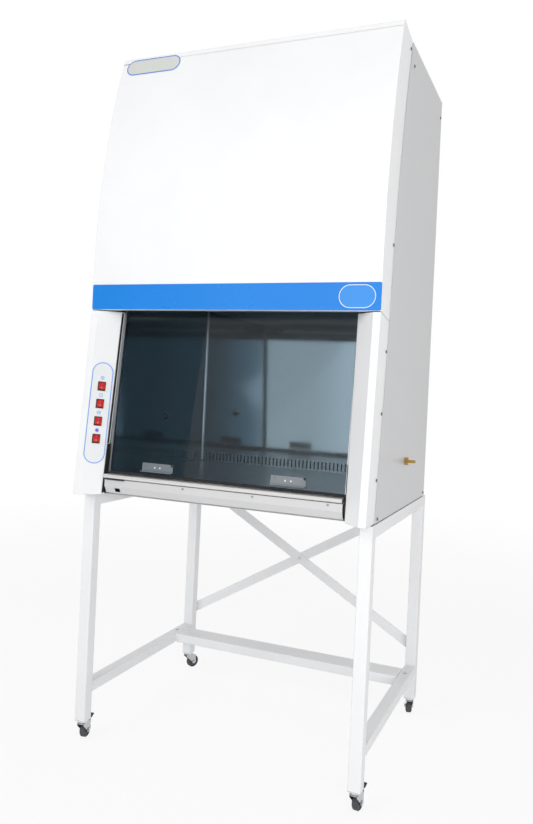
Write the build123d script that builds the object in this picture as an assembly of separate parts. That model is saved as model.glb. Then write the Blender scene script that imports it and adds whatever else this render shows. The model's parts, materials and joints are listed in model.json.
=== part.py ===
from build123d import *
from math import atan, atan2, cos, degrees, hypot, radians, sin, sqrt, tan
import os

# Class II biosafety cabinet on a wheeled tube stand.
# Frame: X to the right, Y to the back, Z up, origin on the floor under the middle of the stand.
# All sizes are in millimetres.

os.makedirs("parts", exist_ok=True)

# ---------------------------------------------------------------- driving dimensions
# Stand
stand_overhang = 3.5
stand_depth = 795.0
stand_top = 846.0
tube = 40.0
tube_wall = 2.0
tube_corner = 3.0
low_rail_z = 160.0
low_rail_height = 35.0
stretcher_depth = 92.0
stretcher_inset = 85.0
brace_width = 37.0
brace_thick = 4.0
brace_low_z = 253.0
brace_top_inset = 29.0
bolt_radius = 4.0
bolt_hole_radius = 4.25
bolt_head_radius = 7.0
bolt_head_height = 4.0
bolt_reach = 12.0
rail_bolt_length = 14.0
nut_height = 5.0
washer_rim = 2.0
pad_width = 30.0
pad_thick = 4.0
pad_end_gap = 50.0

# Casters
caster_height = 70.0
wheel_radius = 25.0
wheel_width = 20.0
wheel_side_gap = 1.0
caster_trail = 22.0
caster_angles = {"front_left": 100.0, "front_right": 84.0, "rear_left": 62.0, "rear_right": 108.0}
braked_casters = ("front_left", "front_right")
leg_cap_thick = 3.0
leg_cap_plug = 14.0
race_radius = 17.0
race_height = 7.7
swivel_gap = 0.3
fork_plate = 3.0
fork_cheek = 2.5
axle_radius = 4.0
axle_head_rim = 2.5
axle_head_thick = 3.0
hub_radius = 9.0
hub_recess = 2.5
tread_thick = 6.5
tread_round = 3.0
rim_land = 1.5
axle_running_gap = 0.05
kingpin_radius = 4.5
stem_radius = 5.0
stem_length = 24.0

# Cabinet body
cabinet_width = 1000.0
cabinet_height = 1500.0
back_inset = 33.5
cabinet_bottom = stand_top + pad_thick
sheet = 1.5
band_overhang = 10.5
lower_front_lean = 58.6
band_bottom_height = 620.0
band_height = 85.0
band_thick = 1.2
band_corner = 5.0
cover_radius = 2690.0
cover_rise_above_top = 19.0
cover_flange_foot = 105.0
cover_flange_middle = 128.0
cover_flange_head = 122.0
cover_top_bend = 7.0
cover_return = 26.0
flange_slope = 19.0
flange_clearance = 0.6
side_step = 2.5
side_screw_heights = (127.0, 322.0, 507.0)
cover_screw_low = 126.0
cover_screw_high = 29.0
panel_screw_low = 11.0
panel_screw_high = 64.0
panel_screw_rear = 18.0
cover_gap = 3.0
rivet_radius = 3.2
rivet_rise = 1.4
rivet_count = 6
rivet_first = 268.0
rivet_pitch = 86.6
rivet_setback = 30.0
screw_radius = 5.0
screw_head = 2.6
screw_inset = 12.0

# Front posts
post_rim = 22.0
post_flange_foot = 93.0
post_flange_head = 107.0
post_width_bottom = 76.0
post_width_top = 83.0
post_splay = 42.0
post_return = 19.0

# Sill
sill_side_gap = 86.0
sill_overhang = 6.0
sill_bottom_gap = 7.0
sill_fold_height = 30.0
sill_top_height = 54.0
sill_fold_back = 12.0
sill_sheet = 1.5
sill_slot = 20.0
sill_return = 18.0
sill_slot_inset = 38.0
sill_slot_margin = 5.0
floor_sheet = 2.0
lip_thick = 14.0
lip_gap = 3.0
lip_overhang = 10.0
lip_depth = 48.0
lip_web_inset = 6.0
lip_web_rise = 10.0
lip_tray_gap = 1.0

# Work chamber
chamber_side_gap = 80.0
chamber_back_gap = 66.0
work_height = 62.0
chamber_ceiling = 690.0
guide_clearance = 6.0
diffuser_rib = 30.0
liner_skirt = 40.0
drain_y = 240.0
drain_outer = 11.0
drain_bore = 8.0
liner = 1.5
pan_depth = 28.0
tray_skirt = 12.0
tray_thick = 2.0
slot_width = 6.0
slot_height = 30.0
slot_pitch = 16.0
slot_floor_gap = 6.0
grille_slot_width = 6.0
grille_slot_length = 22.0
grille_rows = 2
grille_row_pitch = 28.0
grille_setback = 26.0

# Sash
sash_setback = 24.0
glass_thick = 6.0
glass_side_gap = 84.0
glass_length = 600.0
sash_travel = 500.0
gasket_height = 7.0
gasket_thick = 10.0
gasket_end_gap = 6.0
trim_width = 4.0
trim_wall = 1.2
guide_lip = 5.0
guide_wall = 2.0
slide_gap = 0.4
handle_length = 116.0
handle_height = 30.0
handle_reach = 14.0
handle_thick = 2.5
handle_offset = 230.0
handle_base_gap = 14.0
handle_screw_radius = 4.0
handle_screw_inset = 10.0
handle_screw_rise = 22.0
handle_screw_head = 1.5
sash_rest_gap = 0.3

# Sash balance
weight_width = 45.0
weight_depth = 30.0
weight_length = 385.0
weight_top = 2060.0
weight_chamfer = 2.0
eye_radius = 6.0
eye_bore = 2.5
guide_gap = 0.3
pulley_radius = 34.0
pulley_width = 12.0
pulley_groove = 4.0
pulley_height = 2118.0
pulley_shaft = 5.0
balance_behind_band = 146.0

# Air system
filter_height = 90.0
supply_side_gap = 88.0
supply_behind_band = 123.0
supply_back_gap = 13.0
filter_frame = 18.0
pleat_inset = 8.0
exhaust_side_gap = 200.0
exhaust_front = -150.0
exhaust_back = 200.0
plenum_behind_band = 178.0
plenum_top = 2230.0
exhaust_opening_inset = 20.0
exhaust_opening_y = 300.0
guard_frame = 22.0
guard_thick = 6.0
guard_slats = 18
guard_slat = 6.0
guard_bolt_radius = 3.3
rotor_radius = 130.0
rotor_eye = 98.0
rotor_width = 150.0
rotor_blades = 36
blade_thick = 1.4
blade_sweep = 38.0
rotor_disc = 3.0
rotor_hub = 26.0
rotor_hub_length = 40.0
rotor_rim_step = 2.0
rotor_side_gap = 12.0
shaft_length = 60.0
shaft_hole_gap = 6.0
motor_shaft = 8.0
motor_running_gap = 0.08
motor_radius = 72.0
motor_length = 118.0
motor_round = 8.0
motor_foot_width = 50.0
motor_foot_half = 40.0
blower_y = 30.0
blower_z = 1905.0
scroll_gap = 16.0
scroll_growth = 74.0
scroll_wall = 2.0
scroll_outlet = 112.0

# Lamps
lamp_radius = 13.0
lamp_end_gap = 120.0
lamp_drop = 28.0
lamp_behind_band = 122.0
lamp_pitch = 46.0
lamp_cap = 12.0
lamp_holder_thick = 14.0
lamp_holder_half = 12.0

# Switch panel on the left post
plate_width = 70.0
plate_length = 341.0
plate_thick = 2.0
plate_mid_height = 272.5
switch_pitch = 59.0
switch_offset = 1.0
bezel_width = 26.0
bezel_length = 31.0
bezel_thick = 2.0
switch_body_width = 23.4
switch_body_length = 29.0
switch_open_width = 21.0
switch_open_length = 27.0
switch_depth = 16.0
switch_well = 13.0
switch_pin_half = 11.2
bezel_corner = 1.5
bezel_chamfer = 0.6
switch_cutout_gap = 0.2
rocker_width = 20.2
rocker_half = 12.0
rocker_peak = 3.4
rocker_valley = 1.4
rocker_pivot_depth = 4.0
rocker_tilt = 7.0
rocker_pin = 1.5
rocker_pin_gap = 0.06
rocker_pin_end = 0.6
rocker_skirt = 2.0
rocker_belly = 4.0
rocker_belly_half = 7.0
rocker_round = 0.8
rocker_names = ("blower", "lamp", "uv", "outlet")

# Services
nozzle_y = -3.0
nozzle_rise = 95.0
nozzle_hex = 22.0
nozzle_hex_length = 13.0
nozzle_tail_radius = 5.0
nozzle_tail_length = 24.0
pipe_radius = 8.0
cock_radius = 11.0
cock_length = 34.0
cock_neck = 7.0
cock_neck_rise = 5.0
cock_spindle = 3.5
cock_spindle_rise = 12.0
lever_length = 46.0
lever_half = 4.5
lever_thick = 5.0
lever_gap = 0.3
lever_hub_length = 6.0
outlet_disc_radius = 14.0
outlet_disc_thick = 2.5
outlet_hex = 17.0
outlet_hex_length = 6.5
outlet_tail_radius = 4.0
outlet_tail_length = 10.0
outlet_bore = 2.5
outlet_y = -23.0
outlet_z = 1104.0
inlet_x = 300.0
inlet_z = 2150.0
inlet_width = 27.0
inlet_height = 21.0
inlet_rim = 6.0
inlet_flange = 3.0
inlet_wall = 2.0
inlet_depth = 24.0
inlet_cutout_gap = 0.5
inlet_pin = 1.0
inlet_pin_pitch = 7.0
inlet_pin_length = 14.0

# ---------------------------------------------------------------- derived places
stand_width = cabinet_width + 2 * stand_overhang
cabinet_back = stand_depth / 2 - back_inset
front_at_band = -stand_depth / 2 - band_overhang
leg_x = (stand_width - tube) / 2
leg_y = (stand_depth - tube) / 2
half_width = cabinet_width / 2
post_inner_bottom = half_width - post_width_bottom
post_inner_top = half_width - post_width_top
sill_half = half_width - sill_side_gap
chamber_half = half_width - chamber_side_gap
glass_half = half_width - glass_side_gap
supply_half_width = half_width - supply_side_gap
exhaust_half_width = half_width - exhaust_side_gap
exhaust_opening_x = 2 * (exhaust_half_width - exhaust_opening_inset)
lamp_length = 2 * (chamber_half - lamp_end_gap)
sill_face = front_at_band - sill_overhang
chamber_back = cabinet_back - chamber_back_gap
balance_y = front_at_band + balance_behind_band
supply_front = front_at_band + supply_behind_band
supply_back = chamber_back - supply_back_gap
plenum_front = front_at_band + plenum_behind_band
lamp_first_y = front_at_band + lamp_behind_band
cabinet_top = cabinet_bottom + cabinet_height
band_bottom = cabinet_bottom + band_bottom_height
band_top = band_bottom + band_height
cover_top = cabinet_top + cover_rise_above_top
panel_outer = half_width - sheet
panel_inner = panel_outer - sheet
rim_bottom_y = front_at_band - lower_front_lean
splay_tan = tan(radians(post_splay))
work_surface = cabinet_bottom + work_height
nozzle_z = work_surface + nozzle_rise
ceiling_z = cabinet_bottom + chamber_ceiling
sill_bottom = cabinet_bottom + sill_bottom_gap
sill_top = cabinet_bottom + sill_top_height
sill_foot = sill_face + sill_fold_back + sill_return
lip_bottom = sill_top + lip_gap
lip_top = lip_bottom + lip_thick
lip_front = sill_face - lip_overhang
lip_back = lip_front + lip_depth
lip_web_front = lip_back - lip_web_inset
tray_front = lip_back + lip_tray_gap


def rim_y(z):
    """Front face of the leaning lower front at height z."""
    return rim_bottom_y + lower_front_lean * (z - cabinet_bottom) / band_bottom_height


def post_inner_x(z):
    share = (z - cabinet_bottom) / band_bottom_height
    return post_inner_bottom + (post_inner_top - post_inner_bottom) * share


def post_inner_y(z):
    return rim_y(z) + (half_width - post_rim - post_inner_x(z)) * splay_tan


def post_flange_y(z):
    """Rear edge of a post's side flange at height z."""
    share = (z - cabinet_bottom) / band_bottom_height
    return rim_y(z) + post_flange_foot + (post_flange_head - post_flange_foot) * share


sash_slope = (post_inner_y(band_bottom) - post_inner_y(cabinet_bottom)) / band_bottom_height
sash_lean = degrees(atan(sash_slope))


def sash_y(z):
    """Outer face of the glass at height z."""
    return post_inner_y(cabinet_bottom) + sash_setback + sash_slope * (z - cabinet_bottom)


gasket_dip = (glass_thick + gasket_thick) / 2 * sin(radians(sash_lean))
sash_base = lip_top + gasket_dip + sash_rest_gap
sash_frame = Location((0, sash_y(sash_base), sash_base), (-sash_lean, 0, 0))


def cover_y(z):
    """Front face of the curved cover at height z, tangent to the upright band."""
    rise = max(0.0, z - band_top)
    return front_at_band + cover_radius - sqrt(cover_radius ** 2 - rise ** 2)


# ---------------------------------------------------------------- small helpers
def save(shape, name):
    shape.label = name
    export_step(shape, f"parts/{name}.step")


def block(x0, x1, y0, y1, z0, z1):
    return Pos((x0 + x1) / 2, (y0 + y1) / 2, (z0 + z1) / 2) * Box(x1 - x0, y1 - y0, z1 - z0)


def mirror_x(shape):
    return mirror(shape, about=Plane.YZ)


def both_sides(shape):
    return Compound(children=[shape, mirror_x(shape)])


def rod(radius, start, direction, length):
    """Cylinder that starts at a point and runs along a direction."""
    return extrude(Plane(start, z_dir=direction) * Circle(radius), length)


def side_face(points):
    """Face in the YZ plane from (y, z) points."""
    return make_face(Polyline([(0, y, z) for y, z in points], close=True))


def widen(face, x0, x1):
    return Pos(x0, 0, 0) * extrude(face, x1 - x0, dir=(1, 0, 0))


def square_tube(length, width=tube, height=tube):
    """Hollow tube with rounded corners along Z, centred in plan."""
    outer = RectangleRounded(width, height, tube_corner)
    inner = RectangleRounded(width - 2 * tube_wall, height - 2 * tube_wall, tube_corner - tube_wall)
    return extrude(outer - inner, length)


def folded(points, thickness):
    """Closed outline of a bent sheet: the path and its copy set off to the left."""
    offset = []
    count = len(points)
    for i, (x, y) in enumerate(points):
        before = points[max(i - 1, 0)]
        after = points[min(i + 1, count - 1)]
        here = (x, y)
        start = before if i > 0 else here
        end = after if i < count - 1 else here
        first = (here[0] - start[0], here[1] - start[1]) if i > 0 else (end[0] - x, end[1] - y)
        last = (end[0] - x, end[1] - y) if i < count - 1 else first
        n1 = (-first[1] / hypot(*first), first[0] / hypot(*first))
        n2 = (-last[1] / hypot(*last), last[0] / hypot(*last))
        scale = thickness / (1 + n1[0] * n2[0] + n1[1] * n2[1])
        offset.append((x + (n1[0] + n2[0]) * scale, y + (n1[1] + n2[1]) * scale))
    return points + offset[::-1]


# ---------------------------------------------------------------- stand
def stand_legs():
    leg = square_tube(stand_top - caster_height)
    legs = []
    for sx in (-1, 1):
        for sy in (-1, 1):
            placed = Pos(sx * leg_x, sy * leg_y, caster_height) * leg
            corner = Pos(sx * leg_x, sy * (leg_y - tube / 2), stand_top - tube)
            wedge = corner * Rot(sy * 45, 0, 0) * Pos(0, 0, tube) * Box(2 * tube, 4 * tube, 2 * tube)
            placed -= wedge
            if sy > 0:
                placed -= brace_hole(sx, brace_low_z, leg_y)
                placed -= brace_hole(sx, brace_high_z, leg_y)
            legs.append(placed)
    return Compound(children=legs)


brace_high_z = stand_top - brace_top_inset
brace_mid_z = (brace_low_z + brace_high_z) / 2
brace_face = stand_depth / 2
stretcher_front = stand_depth / 2 - tube - stretcher_inset - stretcher_depth + tube
rail_bolt_y = stretcher_front + stretcher_depth / 2


def brace_hole(sx, z, y):
    return rod(bolt_hole_radius, (sx * leg_x, y, z), (0, 1, 0), 2 * tube)


def stand_rails():
    top_side = Rot(90, 0, 0) * square_tube(stand_depth)
    top_side = Pos(0, stand_depth / 2, stand_top - tube / 2) * top_side
    for sy in (-1, 1):
        corner = Pos(0, sy * (leg_y - tube / 2), stand_top - tube)
        top_side -= corner * Rot(sy * 45, 0, 0) * Pos(0, 0, -tube) * Box(2 * tube, 4 * tube, 2 * tube)
    low_side = Rot(90, 0, 0) * square_tube(stand_depth - 2 * tube, tube, low_rail_height)
    low_side = Pos(0, stand_depth / 2 - tube, low_rail_z + low_rail_height / 2) * low_side
    hole = rod(bolt_hole_radius, (0, rail_bolt_y, low_rail_z + low_rail_height / 2), (0, 0, 1), tube)
    low_side -= hole
    rear = Rot(0, 90, 0) * square_tube(stand_width - 2 * tube)
    rear = Pos(-(stand_width / 2 - tube), leg_y, stand_top - tube / 2) * rear
    rails = [rear]
    for sx in (-1, 1):
        rails += [Pos(sx * leg_x, 0, 0) * top_side, Pos(sx * leg_x, 0, 0) * low_side]
    return Compound(children=rails)


def stand_rear_stretcher():
    length = stand_width - 2 * tube
    bar = Rot(0, 90, 0) * square_tube(length, low_rail_height, stretcher_depth)
    return Pos(-length / 2, rail_bolt_y, low_rail_z + low_rail_height / 2) * bar


def brace_bar(sx, layer):
    """One flat bar from the foot of one rear leg to the top of the other."""
    run = 2 * leg_x
    rise = brace_high_z - brace_low_z
    angle = degrees(atan2(rise, run))
    reach = hypot(run, rise)
    bar = SlotCenterToCenter(reach, brace_width)
    for end in (-1, 0, 1):
        bar -= Pos(end * reach / 2, 0) * Circle(bolt_hole_radius)
    bar = extrude(bar, brace_thick)
    lift = Pos(0, brace_face + (layer + 1) * brace_thick, brace_mid_z)
    return lift * Rot(90, 0, 0) * Rot(0, 0, sx * angle) * bar


def stand_braces():
    pieces = [brace_bar(-1, 0), brace_bar(1, 1)]
    for sx, z in ((-1, brace_low_z), (1, brace_high_z)):
        washer = rod(bolt_head_radius + washer_rim, (sx * leg_x, brace_face, z), (0, 1, 0), brace_thick)
        pieces.append(washer - brace_hole(sx, z, brace_face - 1))
    return Compound(children=pieces)


def hex_bolt(shank_length):
    """Hexagon head on Z = 0 upwards and shank downwards."""
    head = extrude(RegularPolygon(bolt_head_radius, 6), bolt_head_height)
    return head + Pos(0, 0, -shank_length) * extrude(Circle(bolt_radius), shank_length)


def stand_bolts():
    bolts = []
    for sx in (-1, 1):
        for z in (brace_low_z, brace_high_z):
            layers = 2 if (sx < 0) == (z == brace_low_z) else 1
            seat = brace_face + layers * brace_thick
            bolt = Rot(-90, 0, 0) * hex_bolt(layers * brace_thick + bolt_reach)
            bolts.append(Pos(sx * leg_x, seat, z) * bolt)
        bolts.append(Pos(sx * leg_x, rail_bolt_y, low_rail_z + low_rail_height) * hex_bolt(rail_bolt_length))
    cross = Rot(90, 0, 0) * hex_bolt(2 * brace_thick + nut_height + washer_rim)
    bolts.append(Pos(0, brace_face, brace_mid_z) * cross)
    nut = extrude(RegularPolygon(bolt_head_radius, 6) - Circle(bolt_hole_radius), nut_height)
    bolts.append(Pos(0, brace_face + 2 * brace_thick, brace_mid_z) * Rot(-90, 0, 0) * nut)
    return Compound(children=bolts)


def stand_pads():
    end = stand_depth / 2 - pad_end_gap
    strip = block(leg_x - pad_width / 2, leg_x + pad_width / 2, -end, end, stand_top, cabinet_bottom)
    return both_sides(strip)


# ---------------------------------------------------------------- casters
cap_bottom = caster_height - leg_cap_thick
race_bottom = cap_bottom - race_height
fork_top = race_bottom - swivel_gap
fork_under = fork_top - fork_plate
cheek_inner = wheel_width / 2 + wheel_side_gap
cheek_outer = cheek_inner + fork_cheek
fork_front = 15.0
fork_brow = 9.0
axle_boss = 9.0
ear_rim = 4.0
plain_ear = (26.0, 52.0)
pedal_pivot = (33.0, 53.0)
pedal_pin = 2.0
pedal_clearance = 0.06
pedal_reach = 28.0
pedal_rise = 9.5
tread_length = 18.0
tread_plate = 2.5
tread_pitch = 20.0


def caster_place(corner):
    sx = 1 if corner.endswith("right") else -1
    sy = 1 if corner.startswith("rear") else -1
    return Pos(sx * leg_x, sy * leg_y, 0) * Rot(0, 0, caster_angles[corner])


def leg_caps_and_races():
    """Leg end cap, fixed upper race and the kingpin that carries the fork."""
    parts = []
    inside = tube - 2 * tube_wall - 0.4
    for corner in caster_angles:
        plug = extrude(RectangleRounded(inside, inside, 1.5), leg_cap_plug)
        cap = extrude(RectangleRounded(tube, tube, tube_corner), leg_cap_thick)
        cap = Pos(0, 0, cap_bottom) * cap + Pos(0, 0, caster_height) * plug
        cap -= rod(stem_radius + axle_running_gap, (0, 0, cap_bottom - 1), (0, 0, 1), 2 * stem_length)
        race = rod(race_radius, (0, 0, race_bottom), (0, 0, 1), race_height)
        race = fillet(race.edges().filter_by(GeomType.CIRCLE).group_by(Axis.Z)[0], 2.0)
        race += rod(stem_radius, (0, 0, cap_bottom), (0, 0, 1), stem_length - leg_cap_thick)
        race += rod(kingpin_radius, (0, 0, fork_under - 0.3), (0, 0, 1), fork_plate + swivel_gap + 0.6)
        race += rod(kingpin_radius + 3, (0, 0, fork_under - 2.3), (0, 0, 1), 2.0)
        sx = 1 if corner.endswith("right") else -1
        sy = 1 if corner.startswith("rear") else -1
        parts += [Pos(sx * leg_x, sy * leg_y, 0) * cap, Pos(sx * leg_x, sy * leg_y, 0) * race]
    return Compound(children=parts)


def cheek_outline(braked):
    """Side plate of the fork in its own XZ plane, from the swivel plate down to the axle."""
    boss = Pos(caster_trail, wheel_radius) * Circle(axle_boss)
    ear_x, ear_z = pedal_pivot if braked else plain_ear
    body = Polyline([(-fork_front, fork_top), (-fork_front, fork_top - fork_brow),
                     (caster_trail - axle_boss, wheel_radius), (caster_trail + axle_boss, wheel_radius),
                     (ear_x + ear_rim, ear_z - ear_rim), (ear_x + ear_rim, ear_z + ear_rim / 2),
                     (fork_front, fork_top)], close=True)
    outline = boss + make_face(body)
    outline -= Pos(caster_trail, wheel_radius) * Circle(axle_radius)
    if braked:
        outline -= Pos(*pedal_pivot) * Circle(pedal_pin + pedal_clearance)
    return outline


def caster_fork(corner):
    braked = corner in braked_casters
    plate = rod(race_radius + 0.5, (0, 0, fork_under), (0, 0, 1), fork_plate)
    plate &= block(-30, 30, -cheek_outer, cheek_outer, 0, 100)
    fork = plate
    for rear_face in (-cheek_inner, cheek_outer):
        cheek = extrude(Plane.XZ * cheek_outline(braked), fork_cheek)
        fork += Pos(0, rear_face, 0) * cheek
    fork -= rod(kingpin_radius + 0.1, (0, 0, fork_under - 1), (0, 0, 1), fork_plate + 2)
    axle = rod(axle_radius, (caster_trail, -cheek_outer, wheel_radius), (0, 1, 0), 2 * cheek_outer)
    head = axle_radius + axle_head_rim
    heads = rod(head, (caster_trail, cheek_outer, wheel_radius), (0, 1, 0), axle_head_thick)
    heads += rod(head, (caster_trail, -cheek_outer, wheel_radius), (0, -1, 0), axle_head_thick)
    return caster_place(corner) * Compound(children=[fork, axle + heads])


def caster_wheel(corner):
    half = wheel_width / 2
    bore = axle_radius + axle_running_gap
    rim = wheel_radius - tread_thick
    shoulder = wheel_radius - tread_round
    side = [(bore, half), (hub_radius, half), (hub_radius, half - hub_recess), (rim, half - hub_recess),
            (rim + rim_land, half), (shoulder, half), (wheel_radius, half - tread_round)]
    profile = Polyline([(x, -y) for x, y in side] + side[::-1], close=True)
    wheel = revolve(make_face(profile), Axis.Y)
    return caster_place(corner) * Pos(caster_trail, 0, wheel_radius) * wheel


def caster_brake(corner):
    """Foot pedal on a pin between the cheeks, with its cam just clear of the tread."""
    px, pz = pedal_pivot
    heel = 5.0
    side = Polyline([(px - heel, pz + ear_rim), (px + heel, pz + ear_rim),
                     (px + pedal_reach, pz + pedal_rise + tread_plate), (px + pedal_reach, pz + pedal_rise),
                     (px + 2 * heel, pz), (px + heel, pz - ear_rim),
                     (px - heel, pz - ear_rim / 2)], close=True)
    core = extrude(Plane.XZ * make_face(side), wheel_width / 2, both=True)
    tread_place = Pos(px + pedal_reach - tread_length / 2, 0, pz + pedal_rise)
    tread = tread_place * Rot(0, -tread_pitch, 0) * Box(tread_length, 2 * cheek_outer, tread_plate)
    pin = rod(pedal_pin, (px, -cheek_outer, pz), (0, 1, 0), 2 * cheek_outer)
    return caster_place(corner) * (core + tread + pin)


# ---------------------------------------------------------------- cabinet shell
def cover_flange_y(z):
    """Rear edge of the cover's side flange, widest at half its height."""
    middle = (band_bottom + cabinet_top) / 2
    reach = (cabinet_top - band_bottom) / 2
    share = (z - middle) / reach
    end = cover_flange_head if z > middle else cover_flange_foot
    return cover_y(z) + cover_flange_middle + (end - cover_flange_middle) * share ** 2


def cover_outline(inset, extra_depth, bottom_drop):
    """Side outline of the curved cover; inset shrinks it by a sheet thickness."""
    front = front_at_band + inset
    bottom = band_bottom - bottom_drop
    top = cover_top - inset
    arc_top = top - cover_top_bend
    radius = cover_radius - inset

    def arc_y(z):
        return front_at_band + cover_radius - sqrt(radius ** 2 - (z - band_top) ** 2)

    foot = (0, front, band_top)
    middle = (0, arc_y((band_top + arc_top) / 2), (band_top + arc_top) / 2)
    head = (0, arc_y(arc_top), arc_top)
    shoulder = (0, head[1] + cover_top_bend * 0.35, top - cover_top_bend * 0.25)
    crest = (0, head[1] + cover_top_bend * 1.1, top)
    back_top = (0, cover_flange_y(cabinet_top) + extra_depth, cabinet_top + sheet - inset)
    back_mid_z = (band_bottom + cabinet_top) / 2
    back_mid = (0, cover_flange_y(back_mid_z) + extra_depth, back_mid_z)
    back_foot = (0, cover_flange_y(band_bottom) + extra_depth, bottom - flange_slope)
    toe = (0, front, bottom)
    edges = [Line(toe, foot), ThreePointArc(foot, middle, head), ThreePointArc(head, shoulder, crest),
             Line(crest, back_top), ThreePointArc(back_top, back_mid, back_foot), Line(back_foot, toe)]
    return make_face(Wire(edges))


def front_cover():
    """Curved front with its side flanges and a top that slopes back onto the roof."""
    shell = widen(cover_outline(0, 0, 0), -half_width, half_width)
    hollow = cover_outline(sheet, 2 * cover_flange_head, 2 * cover_return)
    hollow = widen(hollow, -panel_outer, panel_outer)
    under_top = block(-panel_outer, panel_outer, front_at_band, cabinet_back,
                      cabinet_top - 2 * sheet, cabinet_top)
    lip = block(-panel_inner, panel_inner, front_at_band + sheet, front_at_band + cover_return,
                band_bottom, band_bottom + sheet)
    return shell - hollow - under_top + lip


def blue_band():
    strip = RectangleRounded(cabinet_width, band_height - 2, band_corner)
    strip = extrude(Plane.XZ * strip, band_thick)
    return Pos(0, front_at_band, band_bottom + band_height / 2) * strip


def tucked_outline():
    """Side sheet outline up to its front edge, which is tucked under the flanges."""
    inset = 2 * sheet
    low = cabinet_bottom
    foot = (0, rim_y(low) + inset, low)
    waist = (0, rim_y(band_bottom) + inset, band_bottom)
    bend = (0, front_at_band + inset, band_top)
    brow_z = cabinet_top - 2 * cover_top_bend
    mid_z = (band_top + brow_z) / 2
    middle = (0, cover_y(mid_z) + inset, mid_z)
    brow = (0, cover_y(brow_z) + inset, brow_z)
    head = (0, cover_y(cabinet_top) + inset + cover_top_bend, cabinet_top)
    rear_high = (0, cabinet_back, cabinet_top)
    rear_low = (0, cabinet_back, low)
    edges = [Line(foot, waist), Line(waist, bend), ThreePointArc(bend, middle, brow), Line(brow, head),
             Line(head, rear_high), Line(rear_high, rear_low), Line(rear_low, foot)]
    return make_face(Wire(edges))


def proud_outline(margin):
    """Outline of the raised field of the side sheet, right behind the flanges."""
    low = cabinet_bottom + margin
    high = cabinet_top - margin
    rear = cabinet_back - margin
    shift = flange_clearance + margin
    joint = band_bottom - flange_slope
    foot = (0, post_flange_y(cabinet_bottom) + shift, low)
    waist = (0, cover_flange_y(band_bottom) + shift, joint)
    middle_z = (band_bottom + cabinet_top) / 2
    middle = (0, cover_flange_y(middle_z) + shift, middle_z)
    head = (0, cover_flange_y(cabinet_top) + shift, high)
    edges = [Line(foot, waist), ThreePointArc(waist, middle, head), Line(head, (0, rear, high)),
             Line((0, rear, high), (0, rear, low)), Line((0, rear, low), foot)]
    return make_face(Wire(edges))


def side_panels():
    """Side sheets: tucked under the flanges in front, then stepped out to a raised field."""
    proud = half_width + side_step
    panel = widen(tucked_outline(), panel_inner, panel_outer)
    panel += widen(proud_outline(0), panel_inner, proud)
    panel -= widen(proud_outline(sheet), panel_inner - sheet, proud - sheet)
    bore = rod(pipe_radius + 0.3, (panel_inner - 5, nozzle_y, nozzle_z), (1, 0, 0), 20)
    return Compound(children=[panel - bore, mirror_x(panel)])


def inlet_block(margin, back, front):
    """Block round the mains inlet's middle, from one depth to another behind the back face."""
    half_x = inlet_width / 2 + margin
    half_z = inlet_height / 2 + margin
    return block(inlet_x - half_x, inlet_x + half_x, cabinet_back + back, cabinet_back + front,
                 inlet_z - half_z, inlet_z + half_z)


def back_panel():
    panel = block(-panel_inner, panel_inner, cabinet_back - sheet, cabinet_back,
                  cabinet_bottom, cabinet_top)
    window = inlet_block(inlet_cutout_gap, -inlet_depth, inlet_depth)
    return panel - window


def bottom_panel():
    clear = sheet + 0.5
    low = cabinet_bottom
    front = sill_foot - 4
    rear = cabinet_back - sheet
    inner_x = post_inner_x(low) + sheet + 0.5
    inner_y = post_inner_y(low) + clear + 1.0
    points = [(panel_inner, rear), (panel_inner, rim_y(low) + 2 * clear),
              (half_width - post_rim - 0.5, rim_y(low) + 2 * clear), (inner_x, inner_y), (inner_x, front)]
    outline = points + [(-x, y) for x, y in reversed(points)]
    floor = extrude(make_face(Polyline(outline, close=True)), floor_sheet)
    return Pos(0, 0, low) * floor


def top_panel():
    front = cover_y(cabinet_top) + 2 * sheet + 2
    panel = block(-panel_inner, panel_inner, front, cabinet_back - sheet, cabinet_top - 2, cabinet_top)
    mid = (exhaust_front + exhaust_back) / 2
    hole = Pos(0, mid, cabinet_top) * Box(exhaust_opening_x, exhaust_opening_y, 20)
    panel -= hole
    for x, y in guard_bolts():
        panel -= rod(guard_bolt_radius, (x, y, cabinet_top - 10), (0, 0, 1), 20)
    return panel


def guard_bolts():
    mid = (exhaust_front + exhaust_back) / 2
    dx = exhaust_opening_x / 2 + guard_frame / 2
    dy = exhaust_opening_y / 2 + guard_frame / 2
    return [(sx * dx, mid + sy * dy) for sx in (-1, 1) for sy in (-1, 1)]


def exhaust_guard():
    """Slatted grille over the exhaust opening, held at its four corners."""
    mid = (exhaust_front + exhaust_back) / 2
    outer = Rectangle(exhaust_opening_x + 2 * guard_frame, exhaust_opening_y + 2 * guard_frame)
    frame = outer - Rectangle(exhaust_opening_x, exhaust_opening_y)
    guard = extrude(frame, guard_thick)
    pitch = exhaust_opening_x / guard_slats
    for i in range(1, guard_slats):
        x = -exhaust_opening_x / 2 + i * pitch
        guard += Pos(x, 0, guard_thick / 2) * Box(guard_slat, exhaust_opening_y, guard_thick - 2)
    guard += Pos(0, 0, guard_thick / 2) * Box(exhaust_opening_x, guard_slat * 2, guard_thick - 2)
    guard = Pos(0, mid, cabinet_top) * guard
    for x, y in guard_bolts():
        guard -= rod(guard_bolt_radius, (x, y, cabinet_top - 1), (0, 0, 1), 20)
    return guard


def post_section(z):
    rim = rim_y(z)
    outer_x = half_width
    inner_x = post_inner_x(z)
    inner_y = post_inner_y(z)
    path = [(outer_x, post_flange_y(z)), (outer_x, rim), (outer_x - post_rim, rim),
            (inner_x, inner_y), (inner_x, inner_y + post_return)]
    thick = folded(path, -sheet)
    return make_face(Polyline([(x, y, z) for x, y in thick], close=True))


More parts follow.
